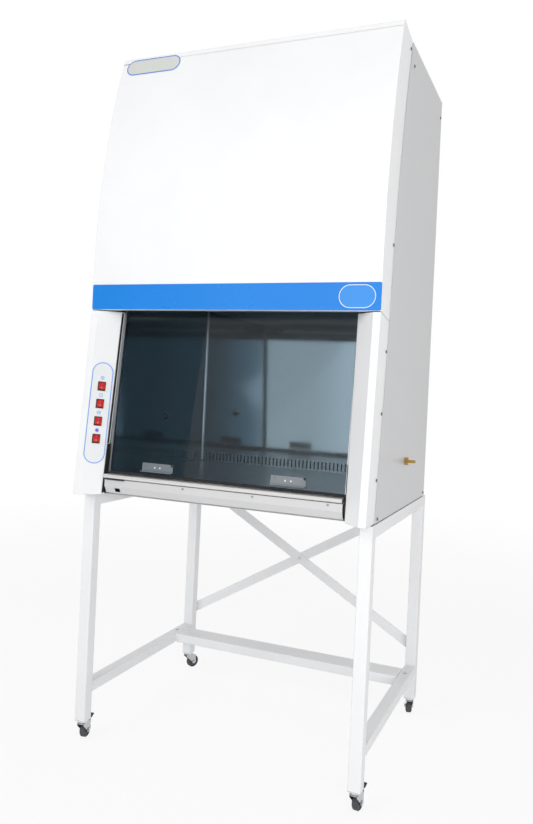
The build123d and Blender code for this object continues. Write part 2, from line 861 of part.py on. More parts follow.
def front_posts():
    """Folded sheet posts beside the window: side flange, narrow rim, splayed face and return."""
    low = cabinet_bottom
    high = band_bottom - cover_gap
    post = loft([post_section(low), post_section(high)], ruled=True)
    tip = post_flange_y(high)
    slope = flange_slope / cover_flange_foot
    front = front_at_band - post_rim
    rear = tip + post_rim
    over = high + post_flange_head
    top_cut = side_face([(front, high + post_rim * slope), (rear, high - slope * (rear - front_at_band)),
                         (rear, over), (front, over)])
    post -= widen(top_cut, panel_outer, half_width + sheet)
    left = mirror_x(post)
    for offset in switch_places():
        left -= plate_plane.location * Pos(0, offset, -5) * Box(
            switch_body_width + 2 * switch_cutout_gap, switch_body_length + 2 * switch_cutout_gap, 20)
    return Compound(children=[post, left])


def sill_panel():
    """Painted front under the window: upright strip, fold, leaning strip and returns."""
    fold_z = sill_bottom + sill_fold_height - sill_bottom_gap
    path = [(lip_web_front, sill_top), (sill_face, sill_top), (sill_face, fold_z),
            (sill_face + sill_fold_back, sill_bottom), (sill_foot, sill_bottom),
            (sill_foot, cabinet_bottom + floor_sheet)]
    outline = folded(path, sill_sheet)
    panel = widen(side_face(outline), -sill_half, sill_half)
    slot_x = -sill_half + sill_slot_inset
    panel -= block(slot_x, slot_x + sill_slot, sill_face - sill_slot, sill_face + sill_slot,
                   sill_bottom + sill_slot_margin, fold_z - sill_slot_margin)
    return panel


def sill_lip():
    """Stainless arm rest: rolled front edge on a folded web."""
    nose = lip_thick / 2
    rest = block(-sill_half, sill_half, lip_front + nose, lip_back, lip_bottom, lip_top)
    rest += rod(nose, (-sill_half, lip_front + nose, lip_bottom + nose), (1, 0, 0), 2 * sill_half)
    web = block(-sill_half, sill_half, lip_web_front, lip_web_front + sheet,
                sill_bottom + lip_web_rise, lip_bottom)
    return rest + web


def panel_screw(y, z, x):
    head = rod(screw_radius, (x, y, z), (1, 0, 0), screw_head)
    head = fillet(head.edges().filter_by(GeomType.CIRCLE).group_by(Axis.X)[-1], screw_head / 2)
    return head


def side_screws():
    screws = []
    for z in (cabinet_top - cover_screw_high, band_top + cover_screw_low):
        screws.append(panel_screw(cover_flange_y(z) - screw_inset, z, half_width))
    for rise in side_screw_heights:
        z = cabinet_bottom + rise
        screws.append(panel_screw(post_flange_y(z) - screw_inset, z, half_width))
    proud = half_width + side_step
    rear = cabinet_back - panel_screw_rear
    low = cabinet_bottom + panel_screw_low
    high = cabinet_top - panel_screw_high
    front_low = post_flange_y(low) + 2 * screw_inset
    front_high = cover_flange_y(high) + 4 * screw_inset
    for y, z in ((front_low, low), (rear, low), (front_high, high), (rear, high)):
        screws.append(panel_screw(y, z, proud))
    return Compound(children=screws + [mirror_x(s) for s in screws])


def cover_rivets():
    rivets = []
    for i in range(rivet_count):
        z = cabinet_bottom + band_bottom_height + rivet_first + i * rivet_pitch
        dome = rod(rivet_radius, (half_width, cover_y(z) + rivet_setback, z), (1, 0, 0), rivet_rise)
        rivets.append(fillet(dome.edges().filter_by(GeomType.CIRCLE).group_by(Axis.X)[-1], 0.7 * rivet_rise))
    return Compound(children=rivets + [mirror_x(r) for r in rivets])


# ---------------------------------------------------------------- switch panel
def post_face_plane():
    """Plane on the left post's splayed face, X across it, Y up it, Z outwards."""
    z = cabinet_bottom + plate_mid_height
    inner = Vector(-post_inner_x(z), post_inner_y(z), z)
    outer = Vector(-(half_width - post_rim), rim_y(z), z)
    across = (inner - outer).normalized()
    up_z = z + 100
    middle = (inner + outer) / 2
    inner_up = Vector(-post_inner_x(up_z), post_inner_y(up_z), up_z)
    outer_up = Vector(-(half_width - post_rim), rim_y(up_z), up_z)
    up = ((inner_up + outer_up) / 2 - middle).normalized()
    normal = across.cross(up).normalized()
    return Plane(origin=middle, x_dir=up.cross(normal), z_dir=normal)


plate_plane = post_face_plane()


def switch_places():
    return [switch_offset + (1.5 - i) * switch_pitch for i in range(len(rocker_names))]


def control_plate():
    plate = extrude(SlotOverall(plate_length, plate_width, rotation=90), plate_thick)
    for offset in switch_places():
        plate -= Pos(0, offset, 0) * Box(switch_body_width + 2 * switch_cutout_gap,
                                         switch_body_length + 2 * switch_cutout_gap, 20)
    return plate_plane.location * plate


def switch_bezels():
    bezels = []
    for offset in switch_places():
        flange = extrude(RectangleRounded(bezel_width, bezel_length, bezel_corner), bezel_thick)
        flange = chamfer(flange.edges().group_by(Axis.Z)[-1], bezel_chamfer)
        body = Pos(0, 0, -switch_depth / 2) * Box(switch_body_width, switch_body_length, switch_depth)
        well = Box(switch_open_width, switch_open_length, switch_well)
        well = Pos(0, 0, bezel_thick - switch_well / 2) * well
        pin = rod(rocker_pin + rocker_pin_gap, (-switch_pin_half, 0, bezel_thick - rocker_pivot_depth),
                  (1, 0, 0), 2 * switch_pin_half)
        bezels.append(plate_plane.location * Pos(0, offset, plate_thick) * (flange + body - well - pin))
    return Compound(children=bezels)


def rocker(index):
    """Rocker cap with a shallow valley, tipped so that its lower half stands proud."""
    pivot = plate_thick + bezel_thick - rocker_pivot_depth
    top = rocker_pivot_depth + rocker_peak
    side = Polyline([(-rocker_half, top), (0, rocker_pivot_depth + rocker_valley), (rocker_half, top),
                     (rocker_half, rocker_skirt), (rocker_belly_half, -rocker_belly),
                     (-rocker_belly_half, -rocker_belly), (-rocker_half, rocker_skirt)], close=True)
    cap = extrude(Plane.YZ * make_face(side), rocker_width / 2, both=True)
    cap = fillet(cap.edges().filter_by(Axis.X).group_by(Axis.Z)[-1], rocker_round)
    pin_half = switch_open_width / 2 + rocker_pin_end
    cap += rod(rocker_pin, (-pin_half, 0, 0), (1, 0, 0), 2 * pin_half)
    place = plate_plane.location * Pos(0, switch_places()[index], pivot)
    return place * Rot(-rocker_tilt, 0, 0) * cap


# ---------------------------------------------------------------- chamber
def inner_walls():
    """Side walls of the work chamber; their front edges follow the sash."""
    clear = glass_thick + guide_clearance
    low = work_surface - liner_skirt
    points = [(sash_y(low) + clear, low), (sash_y(ceiling_z) + clear, ceiling_z),
              (chamber_back, ceiling_z), (chamber_back, low)]
    wall = widen(side_face(points), chamber_half, chamber_half + liner)
    bore = rod(pipe_radius + 0.3, (chamber_half - 5, nozzle_y, nozzle_z), (1, 0, 0), 20)
    left = mirror_x(wall)
    return Compound(children=[wall - bore, left])


def inner_back_wall():
    low = work_surface - liner_skirt
    wide = chamber_half + liner
    wall = block(-wide, wide, chamber_back, chamber_back + liner, low, ceiling_z)
    count = int(2 * (chamber_half - 8) / slot_pitch)
    z = work_surface + slot_floor_gap + slot_height / 2
    cutter = Box(slot_width, 10, slot_height)
    first = -(count - 1) * slot_pitch / 2
    return wall - [Pos(first + i * slot_pitch, chamber_back, z) * cutter for i in range(count)]


pan_top = work_surface - tray_skirt


def drain_pan():
    inner = chamber_half - 0.3
    outer = block(-inner, inner, tray_front, chamber_back, pan_top - pan_depth, pan_top)
    hollow = block(-inner + liner, inner - liner, tray_front + liner, chamber_back - liner,
                   pan_top - pan_depth + liner, pan_top + 1)
    pan = outer - hollow
    drain_z = cabinet_bottom + 2.3
    stub = rod(drain_outer, (0, drain_y, drain_z), (0, 0, 1), pan_top - pan_depth - drain_z + liner / 3)
    bore = rod(drain_bore, (0, drain_y, drain_z + 2 * liner), (0, 0, 1), 2 * pan_depth)
    return pan + stub - bore


def work_tray():
    """Stainless work surface with its turned-down rim and the front air grille."""
    half = chamber_half - 1.0
    back = chamber_back - 1.0
    slab = block(-half, half, tray_front, back, pan_top, work_surface)
    under = block(-half + tray_thick, half - tray_thick, tray_front + tray_thick, back - tray_thick,
                  pan_top - 1, work_surface - tray_thick)
    tray = slab - under
    count = int(2 * (half - 12) / slot_pitch)
    first = -(count - 1) * slot_pitch / 2
    cutter = Box(grille_slot_width, grille_slot_length, 10)
    cuts = []
    for row in range(grille_rows):
        y = tray_front + grille_setback + row * grille_row_pitch
        cuts += [Pos(first + i * slot_pitch, y, work_surface) * cutter for i in range(count)]
    return tray - cuts


def diffuser():
    front = sash_y(ceiling_z) + glass_thick + guide_clearance + 2 * sheet
    ceiling = block(-chamber_half, chamber_half, front, chamber_back, ceiling_z - liner, ceiling_z)
    rib = block(-chamber_half, chamber_half, front, front + liner,
                ceiling_z - diffuser_rib, ceiling_z - liner)
    return ceiling + rib


def filter_unit(half_x, front, back, bottom):
    """Boxed filter: a square frame round a pleated pack."""
    inner_x = half_x - filter_frame
    inner_front = front + filter_frame
    inner_back = back - filter_frame
    top = bottom + filter_height
    frame = block(-half_x, half_x, front, back, bottom, top)
    frame -= block(-inner_x, inner_x, inner_front, inner_back, bottom, top)
    pack = block(-inner_x, inner_x, inner_front, inner_back, bottom + pleat_inset, top - pleat_inset)
    return [frame, pack]


supply_bottom = ceiling_z
plenum_bottom = supply_bottom + filter_height


def hepa_filters():
    supply = filter_unit(supply_half_width, supply_front, supply_back, supply_bottom)
    exhaust = filter_unit(exhaust_half_width, exhaust_front, exhaust_back, plenum_top)
    return Compound(children=supply + exhaust)


def plenum_box():
    """Pressure box between the two filters, open to both, with the blower's inlet in its side."""
    half = supply_half_width
    box = block(-half, half, plenum_front, supply_back, plenum_bottom, plenum_top)
    box -= block(-half + sheet, half - sheet, plenum_front + sheet, supply_back - sheet,
                 plenum_bottom - 1, plenum_top - sheet)
    box -= block(-exhaust_half_width + filter_frame, exhaust_half_width - filter_frame,
                 exhaust_front + filter_frame, exhaust_back - filter_frame, plenum_top - 5, plenum_top + 5)
    box -= rod(rotor_eye, (-half - 5, blower_y, blower_z), (1, 0, 0), 10)
    return box


# ---------------------------------------------------------------- blower
scroll_left = -rotor_width / 2 - rotor_side_gap
scroll_right = rotor_width / 2 + rotor_side_gap
motor_left = scroll_right + scroll_wall


def scroll_points(extra):
    """Spiral that opens from the tongue to the outlet, in the YZ plane."""
    points = []
    steps = 28
    for i in range(steps + 1):
        share = i / steps
        angle = radians(-20 + 290 * share)
        radius = rotor_radius + scroll_gap + scroll_growth * share + extra
        points.append((blower_y + radius * cos(angle), blower_z + radius * sin(angle)))
    return points


def blower_housing():
    """Scroll casing with its outlet down to the supply filter and an inlet ring on the left."""
    spiral = scroll_points(scroll_wall)
    outlet_z = blower_z - rotor_radius - scroll_gap - scroll_growth - scroll_outlet / 2
    outline = [(spiral[-1][0], outlet_z)] + [(spiral[0][0], outlet_z)] + spiral
    outer = widen(side_face(outline[::-1]), scroll_left - scroll_wall, scroll_right + scroll_wall)
    inside = scroll_points(0)
    mouth_z = outlet_z - scroll_wall
    hollow_outline = [(inside[-1][0], mouth_z), (inside[0][0], mouth_z)] + inside
    hollow = widen(side_face(hollow_outline[::-1]), scroll_left, scroll_right)
    casing = outer - hollow
    casing -= rod(rotor_eye, (0, blower_y, blower_z), (-1, 0, 0), rotor_width)
    casing -= rod(motor_shaft + shaft_hole_gap, (0, blower_y, blower_z), (1, 0, 0), rotor_width)
    duct_start = -supply_half_width + sheet
    duct_end = scroll_left - scroll_wall
    duct = rod(rotor_eye + scroll_wall, (duct_start, blower_y, blower_z), (1, 0, 0), duct_end - duct_start)
    duct -= rod(rotor_eye, (duct_start - 1, blower_y, blower_z), (1, 0, 0), duct_end - duct_start + 2)
    return casing + duct


def blower_motor():
    can = rod(motor_radius, (motor_left, blower_y, blower_z), (1, 0, 0), motor_length)
    can = fillet(can.edges().filter_by(GeomType.CIRCLE).group_by(Axis.X)[-1], motor_round)
    can -= rod(motor_shaft + motor_running_gap, (0, blower_y, blower_z), (1, 0, 0), motor_left + shaft_length)
    foot_x = motor_left + (motor_length - motor_foot_width) / 2
    foot = block(foot_x, foot_x + motor_foot_width, blower_y, supply_back - sheet,
                 blower_z - motor_foot_half, blower_z + motor_foot_half)
    foot -= rod(motor_radius, (0, blower_y, blower_z), (1, 0, 0), 2 * (motor_left + motor_length))
    return Compound(children=[can, foot])


def rotor_blade():
    """One forward-curved blade: a thin arc between the eye and the rim."""
    lead = radians(blade_sweep)
    inner = Vector(rotor_eye + 3, 0)
    outer = Vector((rotor_radius - 1) * cos(lead / 3), (rotor_radius - 1) * sin(lead / 3))
    bow = Vector((rotor_eye + rotor_radius) / 2 + 2, (inner.Y + outer.Y) / 2 - 4.5)
    arc = ThreePointArc(inner, bow, outer)
    thin = make_face(Wire([arc, Line(arc @ 1, (arc @ 1) + Vector(-blade_thick, blade_thick)),
                           ThreePointArc((arc @ 1) + Vector(-blade_thick, blade_thick),
                                         bow + Vector(-blade_thick * 0.6, blade_thick),
                                         inner + Vector(0, blade_thick)),
                           Line(inner + Vector(0, blade_thick), inner)]))
    return extrude(thin, rotor_width - 2 * rotor_disc)


def blower_rotor():
    """Squirrel-cage wheel: blades between a back disc and a rim ring, on the motor's shaft."""
    disc = extrude(Circle(rotor_radius), rotor_disc)
    ring = extrude(Circle(rotor_radius) - Circle(rotor_eye + rotor_rim_step), rotor_disc)
    ring = Pos(0, 0, rotor_width - rotor_disc) * ring
    blade = Pos(0, 0, rotor_disc) * rotor_blade()
    blades = [Rot(0, 0, i * 360 / rotor_blades) * blade for i in range(rotor_blades)]
    hub = extrude(Circle(rotor_hub), rotor_hub_length)
    shaft = Pos(0, 0, -shaft_length) * extrude(Circle(motor_shaft), shaft_length + rotor_disc)
    wheel = (disc + ring + hub + shaft).fuse(*blades)
    return Pos(rotor_width / 2, blower_y, blower_z) * Rot(0, -90, 0) * wheel


# ---------------------------------------------------------------- sash

def sash_glass():
    pane = Pos(0, glass_thick / 2, (gasket_height + glass_length) / 2) * Box(
        2 * glass_half, glass_thick, glass_length - gasket_height)
    return sash_frame * pane


def sash_trim():
    """Bottom gasket bar and the thin steel channels on the glass's side edges."""
    mid = glass_thick / 2
    bar_length = 2 * (glass_half - gasket_end_gap)
    bar = Pos(0, mid, gasket_height / 2) * Box(bar_length, gasket_thick, gasket_height)
    channel = []
    for side in (-1, 1):
        outer = Pos(side * (glass_half - trim_width / 2 + trim_wall / 2), mid,
                    (glass_length + gasket_height) / 2) * Box(
            trim_width + trim_wall, glass_thick + 2 * trim_wall, glass_length - gasket_height)
        inner = Pos(side * (glass_half - trim_width), mid, glass_length / 2) * Box(
            2 * trim_width, glass_thick, glass_length + 10)
        channel.append(outer - inner)
    return sash_frame * Compound(children=[bar] + channel)


def sash_handles():
    """Two angle handles screwed to the foot of the glass."""
    handles = []
    for side in (-1, 1):
        low = handle_base_gap
        plate = Pos(0, -handle_thick / 2, low + handle_height / 2) * Box(
            handle_length, handle_thick, handle_height)
        ledge = Pos(0, -handle_reach / 2, low + handle_thick / 2) * Box(
            handle_length, handle_reach, handle_thick)
        grip = plate + ledge
        grip = fillet(grip.edges().filter_by(Axis.X).group_by(Axis.Z)[0], 1.0)
        for sx in (-1, 1):
            screw = (sx * (handle_length / 2 - handle_screw_inset), -handle_thick, low + handle_screw_rise)
            grip += rod(handle_screw_radius, screw, (0, -1, 0), handle_screw_head)
        handles.append(Pos(side * handle_offset, 0, 0) * grip)
    return sash_frame * Compound(children=handles)


def sash_guides():
    """Black channels that hold the side edges of the sash over its whole travel."""
    gap = slide_gap
    edge = glass_half + trim_wall + gap
    front = -trim_wall - gap
    back = glass_thick + trim_wall + gap
    length = glass_length + sash_travel + 15
    low = 2.0
    channel = Pos(edge + guide_wall - guide_lip / 2, (front + back) / 2, low + length / 2) * Box(
        guide_lip, back - front + 2 * guide_wall, length)
    hollow = Pos(edge - guide_lip, (front + back) / 2, low + length / 2) * Box(
        2 * guide_lip, back - front, length + 2)
    guide = channel - hollow
    return sash_frame * both_sides(guide)


# ---------------------------------------------------------------- sash balance
weight_x = panel_inner - sheet - guide_gap - weight_width / 2
pulley_x = weight_x - pulley_radius
guide_back = balance_y + weight_depth / 2 + guide_gap


def counterweight(side):
    bar = block(weight_x - weight_width / 2, weight_x + weight_width / 2, balance_y - weight_depth / 2,
                balance_y + weight_depth / 2, weight_top - weight_length, weight_top)
    bar = chamfer(bar.edges().filter_by(Axis.Z), weight_chamfer)
    eye_face = balance_y - eye_radius / 2
    eye_z = weight_top + eye_radius
    eye = rod(eye_radius, (weight_x, eye_face, eye_z), (0, 1, 0), eye_radius)
    eye += block(weight_x - eye_radius, weight_x + eye_radius, eye_face, eye_face + eye_radius,
                 weight_top, eye_z)
    eye -= rod(eye_bore, (weight_x, eye_face, eye_z), (0, 1, 0), eye_radius)
    bar += eye
    return bar if side > 0 else mirror_x(bar)


def weight_guides():
    """Channel on the side panel that guides a counterweight and carries its rope pulley."""
    inner = weight_x - weight_width / 2 - guide_gap
    outer = weight_x + weight_width / 2 + guide_gap
    front = balance_y - weight_depth / 2
    low = weight_top - weight_length - sash_travel - 20
    high = pulley_height + pulley_radius + 22
    web = block(inner - sheet, outer + sheet, guide_back, guide_back + sheet, low, high)
    web += block(inner - sheet, inner, front, guide_back, low, weight_top)
    web += block(outer, outer + sheet, front, guide_back, low, high)
    plate_left = pulley_x - pulley_radius
    web += block(plate_left, inner, guide_back, guide_back + sheet, pulley_height - 50, high)
    boss_length = guide_back - balance_y - pulley_width / 2 - 0.3
    web += rod(9, (pulley_x, guide_back, pulley_height), (0, -1, 0), boss_length)
    reach = guide_back - balance_y + pulley_width / 2 + 0.3
    web += rod(pulley_shaft, (pulley_x, guide_back, pulley_height), (0, -1, 0), reach)
    web += rod(8, (pulley_x, guide_back - reach, pulley_height), (0, -1, 0), 2)
    return both_sides(web)


def pulley(side):
    half = pulley_width / 2
    rim = pulley_radius + pulley_groove
    bore = pulley_shaft + axle_running_gap
    profile = Polyline([(bore, -half), (10, -half), (10, -half + 3), (pulley_radius - 6, -half + 3),
                        (pulley_radius - 4, -half), (rim, -half), (pulley_radius, -1), (pulley_radius, 1),
                        (rim, half), (pulley_radius - 4, half), (pulley_radius - 6, half - 3), (10, half - 3),
                        (10, half), (bore, half)], close=True)
    wheel = revolve(make_face(profile), Axis.Y)
    for i in range(5):
        spot = Rot(0, i * 72, 0) * Pos(pulley_radius * 0.56, 0, 0)
        wheel -= spot * rod(4.5, (0, -20, 0), (0, 1, 0), 40)
    return Pos(side * pulley_x, balance_y, pulley_height) * wheel


# ---------------------------------------------------------------- lamps and services
def lamp_tubes():
    tubes = []
    for i in range(2):
        y = lamp_first_y + i * lamp_pitch
        z = ceiling_z - liner - lamp_drop
        glass = rod(lamp_radius - 0.5, (-lamp_length / 2, y, z), (1, 0, 0), lamp_length)
        for sx in (-1, 1):
            start = (sx * lamp_length / 2, y, z)
            glass += rod(lamp_radius, start, (-sx, 0, 0), lamp_cap)
        tubes.append(glass)
    return Compound(children=tubes)


def lamp_holders():
    holders = []
    for i in range(2):
        y = lamp_first_y + i * lamp_pitch
        z = ceiling_z - liner - lamp_drop
        for sx in (-1, 1):
            inner = sx * (lamp_length / 2)
            outer = sx * (lamp_length / 2 + lamp_holder_thick)
            holders.append(block(min(inner, outer), max(inner, outer), y - lamp_holder_half,
                                 y + lamp_holder_half, z - lamp_holder_thick, ceiling_z - liner))
    return Compound(children=holders)


def wall_outlet():
    """Round escutcheon, hexagon and hose tail of the vacuum outlet on the left chamber wall."""
    along = (1, 0, 0)
    outlet = rod(outlet_disc_radius, (-chamber_half, outlet_y, outlet_z), along, outlet_disc_thick)
    outlet = fillet(outlet.edges().filter_by(GeomType.CIRCLE).group_by(Axis.X)[-1], outlet_disc_thick / 2)
    hex_start = outlet_disc_thick - chamber_half
    outline = RegularPolygon(outlet_hex / 2, 6, major_radius=False)
    outlet += extrude(Plane((hex_start, outlet_y, outlet_z), z_dir=along) * outline, outlet_hex_length)
    tail_start = hex_start + outlet_hex_length
    tail = rod(outlet_tail_radius, (tail_start, outlet_y, outlet_z), along, outlet_tail_length)
    tail = chamfer(tail.edges().filter_by(GeomType.CIRCLE).group_by(Axis.X)[-1], 1.0)
    return outlet + tail - rod(outlet_bore, (tail_start, outlet_y, outlet_z), along, 2 * outlet_tail_length)


def power_inlet():
    """Three-pin mains inlet set into the back panel, with its flange outside."""
    socket = inlet_block(inlet_rim, 0, inlet_flange)
    socket = fillet(socket.edges().filter_by(Axis.Y), inlet_flange)
    socket += inlet_block(0, -inlet_depth, 0)
    socket -= inlet_block(-inlet_wall, 4 * inlet_wall - inlet_depth, 2 * inlet_flange)
    for step in (-1, 0, 1):
        x = inlet_x + step * inlet_pin_pitch
        z = inlet_z + (1 - 2 * abs(step)) * inlet_pin
        y = cabinet_back - inlet_flange
        socket += block(x - inlet_pin, x + inlet_pin, y - inlet_pin_length, y,
                        z - 2 * inlet_pin, z + 2 * inlet_pin)
    return socket


cock_x = chamber_half - cock_length / 2


def gas_fitting():
    """Brass hose nozzle outside, its pipe through the wall cavity and the cock inside."""
    along = (1, 0, 0)
    pipe_start = chamber_half - 1
    fitting = rod(pipe_radius, (pipe_start, nozzle_y, nozzle_z), along, half_width - pipe_start)
    hexagon = Plane((half_width + side_step, nozzle_y, nozzle_z), z_dir=along) * RegularPolygon(
        nozzle_hex / 2, 6, major_radius=False)
    fitting += extrude(hexagon, nozzle_hex_length)
    tail_start = half_width + side_step + nozzle_hex_length
    tail = rod(nozzle_tail_radius, (tail_start, nozzle_y, nozzle_z), along, nozzle_tail_length)
    tail = chamfer(tail.edges().filter_by(GeomType.CIRCLE).group_by(Axis.X)[-1], 1.2)
    fitting += tail
    fitting += rod(cock_radius, (chamber_half, nozzle_y, nozzle_z), (-1, 0, 0), cock_length)
    spout = (chamber_half - cock_length, nozzle_y, nozzle_z)
    fitting += rod(nozzle_tail_radius, spout, (-1, 0, 0), nozzle_tail_length)
    fitting -= rod(nozzle_tail_radius / 2, spout, (-1, 0, 0), 2 * nozzle_tail_length)
    fitting += rod(cock_neck, (cock_x, nozzle_y, nozzle_z), (0, 0, 1), cock_radius + cock_neck_rise)
    fitting += rod(cock_spindle, (cock_x, nozzle_y, nozzle_z), (0, 0, 1), cock_radius + cock_spindle_rise)
    return fitting


def gas_cock_lever():
    z = nozzle_z + cock_radius + cock_neck_rise + lever_gap
    hub = rod(cock_neck, (cock_x, nozzle_y, z), (0, 0, 1), lever_hub_length)
    tip_y = nozzle_y - lever_length
    arm = block(cock_x - lever_half, cock_x + lever_half, tip_y, nozzle_y, z, z + lever_thick)
    arm += rod(lever_half, (cock_x, tip_y, z), (0, 0, 1), lever_thick)
    return hub + arm - rod(cock_spindle + rocker_pin_gap, (cock_x, nozzle_y, z), (0, 0, 1), cock_spindle_rise)


# ---------------------------------------------------------------- write the parts
makers = {
    "stand_legs": stand_legs,
    "stand_rails": stand_rails,
    "stand_rear_stretcher": stand_rear_stretcher,
    "stand_braces": stand_braces,
    "stand_bolts": stand_bolts,
    "stand_pads": stand_pads,
    "leg_caps": leg_caps_and_races,
    "side_panels": side_panels,
    "back_panel": back_panel,
    "bottom_panel": bottom_panel,
    "top_panel": top_panel,
    "front_cover": front_cover,
    "blue_band": blue_band,
    "front_posts": front_posts,
    "sill_panel": sill_panel,
    "sill_lip": sill_lip,
    "side_screws": side_screws,
    "cover_rivets": cover_rivets,
    "control_plate": control_plate,
    "switch_bezels": switch_bezels,
    "inner_walls": inner_walls,
    "inner_back_wall": inner_back_wall,
    "drain_pan": drain_pan,
    "work_tray": work_tray,
    "diffuser": diffuser,
    "hepa_filters": hepa_filters,
    "plenum_box": plenum_box,
    "blower_housing": blower_housing,
    "blower_motor": blower_motor,
    "blower_rotor": blower_rotor,
    "exhaust_guard": exhaust_guard,
    "sash_guides": sash_guides,
    "sash_glass": sash_glass,
    "sash_trim": sash_trim,
    "sash_handles": sash_handles,
    "weight_guides": weight_guides,
    "lamp_tubes": lamp_tubes,
    "lamp_holders": lamp_holders,
    "wall_outlet": wall_outlet,
    "power_inlet": power_inlet,
    "gas_fitting": gas_fitting,
    "gas_cock_lever": gas_cock_lever,
}

for name, maker in makers.items():
    save(maker(), name)

for corner in caster_angles:
    save(caster_fork(corner), f"caster_fork_{corner}")
    save(caster_wheel(corner), f"caster_wheel_{corner}")
for corner in braked_casters:
    save(caster_brake(corner), f"caster_brake_{corner}")

for index, name in enumerate(rocker_names):
    save(rocker(index), f"rocker_{name}")

for side, word in ((-1, "left"), (1, "right")):
    save(counterweight(side), f"counterweight_{word}")
    save(pulley(side), f"pulley_{word}")
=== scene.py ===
import json
from math import radians

import bmesh
import bpy
from mathutils import Matrix, Vector


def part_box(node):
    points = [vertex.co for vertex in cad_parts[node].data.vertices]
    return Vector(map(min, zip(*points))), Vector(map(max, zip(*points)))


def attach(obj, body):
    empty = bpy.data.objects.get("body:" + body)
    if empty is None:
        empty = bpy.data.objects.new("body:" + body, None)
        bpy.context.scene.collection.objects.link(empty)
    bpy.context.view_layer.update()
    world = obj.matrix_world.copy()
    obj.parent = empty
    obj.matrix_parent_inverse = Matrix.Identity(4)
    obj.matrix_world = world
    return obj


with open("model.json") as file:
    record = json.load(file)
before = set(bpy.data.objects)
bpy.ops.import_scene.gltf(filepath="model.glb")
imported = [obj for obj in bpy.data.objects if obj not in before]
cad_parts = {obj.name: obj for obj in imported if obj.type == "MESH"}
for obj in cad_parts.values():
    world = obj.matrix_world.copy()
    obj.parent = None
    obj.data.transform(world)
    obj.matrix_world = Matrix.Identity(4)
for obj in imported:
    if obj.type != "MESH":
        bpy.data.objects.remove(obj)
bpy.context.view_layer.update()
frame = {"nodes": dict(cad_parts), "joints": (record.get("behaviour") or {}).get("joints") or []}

# ------------------------------------------------------------------ studio
# A pale floor that runs out into a white surround, with one soft lamp high on the left
# and one low on the right. A white card and two dim blue flags give glass and steel
# something to mirror.
floor_radius = 40.0
floor_white = (0.93, 0.93, 0.93, 1.0)
floor_fade_start = 1.6
floor_fade_end = 6.0
surround_light = 0.56
floor_near_glow = 0.86


def add_node(tree, kind, inputs=None, **settings):
    """Adds a node, sets its fields, and fills each input with a value or a link."""
    made = tree.nodes.new(kind)
    for field, value in settings.items():
        setattr(made, field, value)
    for socket, value in (inputs or {}).items():
        if isinstance(value, bpy.types.NodeSocket):
            tree.links.new(value, made.inputs[socket])
        else:
            made.inputs[socket].default_value = value
    return made


def light_paths(tree):
    """1 where the surround is looked at, straight, in a mirror or through glass."""
    paths = add_node(tree, "ShaderNodeLightPath")
    direct = add_node(tree, "ShaderNodeMath", {0: paths.outputs["Is Camera Ray"],
                                               1: paths.outputs["Is Glossy Ray"]}, operation="MAXIMUM")
    return add_node(tree, "ShaderNodeMath", {0: direct.outputs[0],
                                             1: paths.outputs["Is Transmission Ray"]},
                    operation="MAXIMUM").outputs[0]


surround = bpy.data.worlds.new("surround")
surround.use_nodes = True
bpy.context.scene.world = surround
tree = surround.node_tree
tree.nodes.clear()
seen = add_node(tree, "ShaderNodeBackground", {"Color": (1, 1, 1, 1), "Strength": 1.0})
lit = add_node(tree, "ShaderNodeBackground", {"Color": (1, 1, 1, 1), "Strength": surround_light})
both = add_node(tree, "ShaderNodeMixShader", {0: light_paths(tree), 1: lit.outputs[0], 2: seen.outputs[0]})
add_node(tree, "ShaderNodeOutputWorld", {"Surface": both.outputs[0]})

bpy.ops.object.select_all(action="DESELECT")
bpy.ops.mesh.primitive_circle_add(vertices=96, radius=floor_radius, fill_type="NGON", location=(0, 0, 0))
floor = bpy.context.object
floor.name = "studio_floor"
floor_finish = bpy.data.materials.new("floor_finish")
floor_finish.use_nodes = True
tree = floor_finish.node_tree
tree.nodes.clear()
place = add_node(tree, "ShaderNodeTexCoord")
reach = add_node(tree, "ShaderNodeVectorMath", {0: place.outputs["Object"]}, operation="LENGTH")
fade = add_node(tree, "ShaderNodeMapRange", {"Value": reach.outputs["Value"], "From Min": floor_fade_start,
                                             "From Max": floor_fade_end, "To Min": floor_near_glow},
                interpolation_type="SMOOTHSTEP")
seen_far = add_node(tree, "ShaderNodeMath", {0: fade.outputs[0], 1: light_paths(tree)}, operation="MULTIPLY")
matt = add_node(tree, "ShaderNodeBsdfDiffuse", {"Color": floor_white})
glow = add_node(tree, "ShaderNodeEmission", {"Color": (1, 1, 1, 1), "Strength": 1.0})
blend = add_node(tree, "ShaderNodeMixShader", {0: seen_far.outputs[0], 1: matt.outputs[0],
                                               2: glow.outputs[0]})
add_node(tree, "ShaderNodeOutputMaterial", {"Surface": blend.outputs[0]})
floor.data.materials.append(floor_finish)


def soft_box(name, place, target, width, height, watts):
    """A rectangular area lamp at a place, facing a target."""
    lamp = bpy.data.lights.new(name, "AREA")
    lamp.shape = "RECTANGLE"
    lamp.size = width
    lamp.size_y = height
    lamp.energy = watts
    holder = bpy.data.objects.new(name, lamp)
    bpy.context.scene.collection.objects.link(holder)
    aim = (Vector(place) - Vector(target)).to_track_quat("Z", "Y").to_matrix().to_4x4()
    holder.matrix_world = Matrix.Translation(place) @ aim
    holder.visible_camera = False
    holder.visible_glossy = False
    holder.visible_transmission = False


soft_box("key_light", place=(-2.2, -4.2, 3.6), target=(0.0, 0.0, 1.4), width=2.6, height=2.6, watts=58.0)
soft_box("fill_light", place=(2.4, -3.6, 1.5), target=(0.0, 0.0, 1.1), width=2.2, height=2.2, watts=72.0)


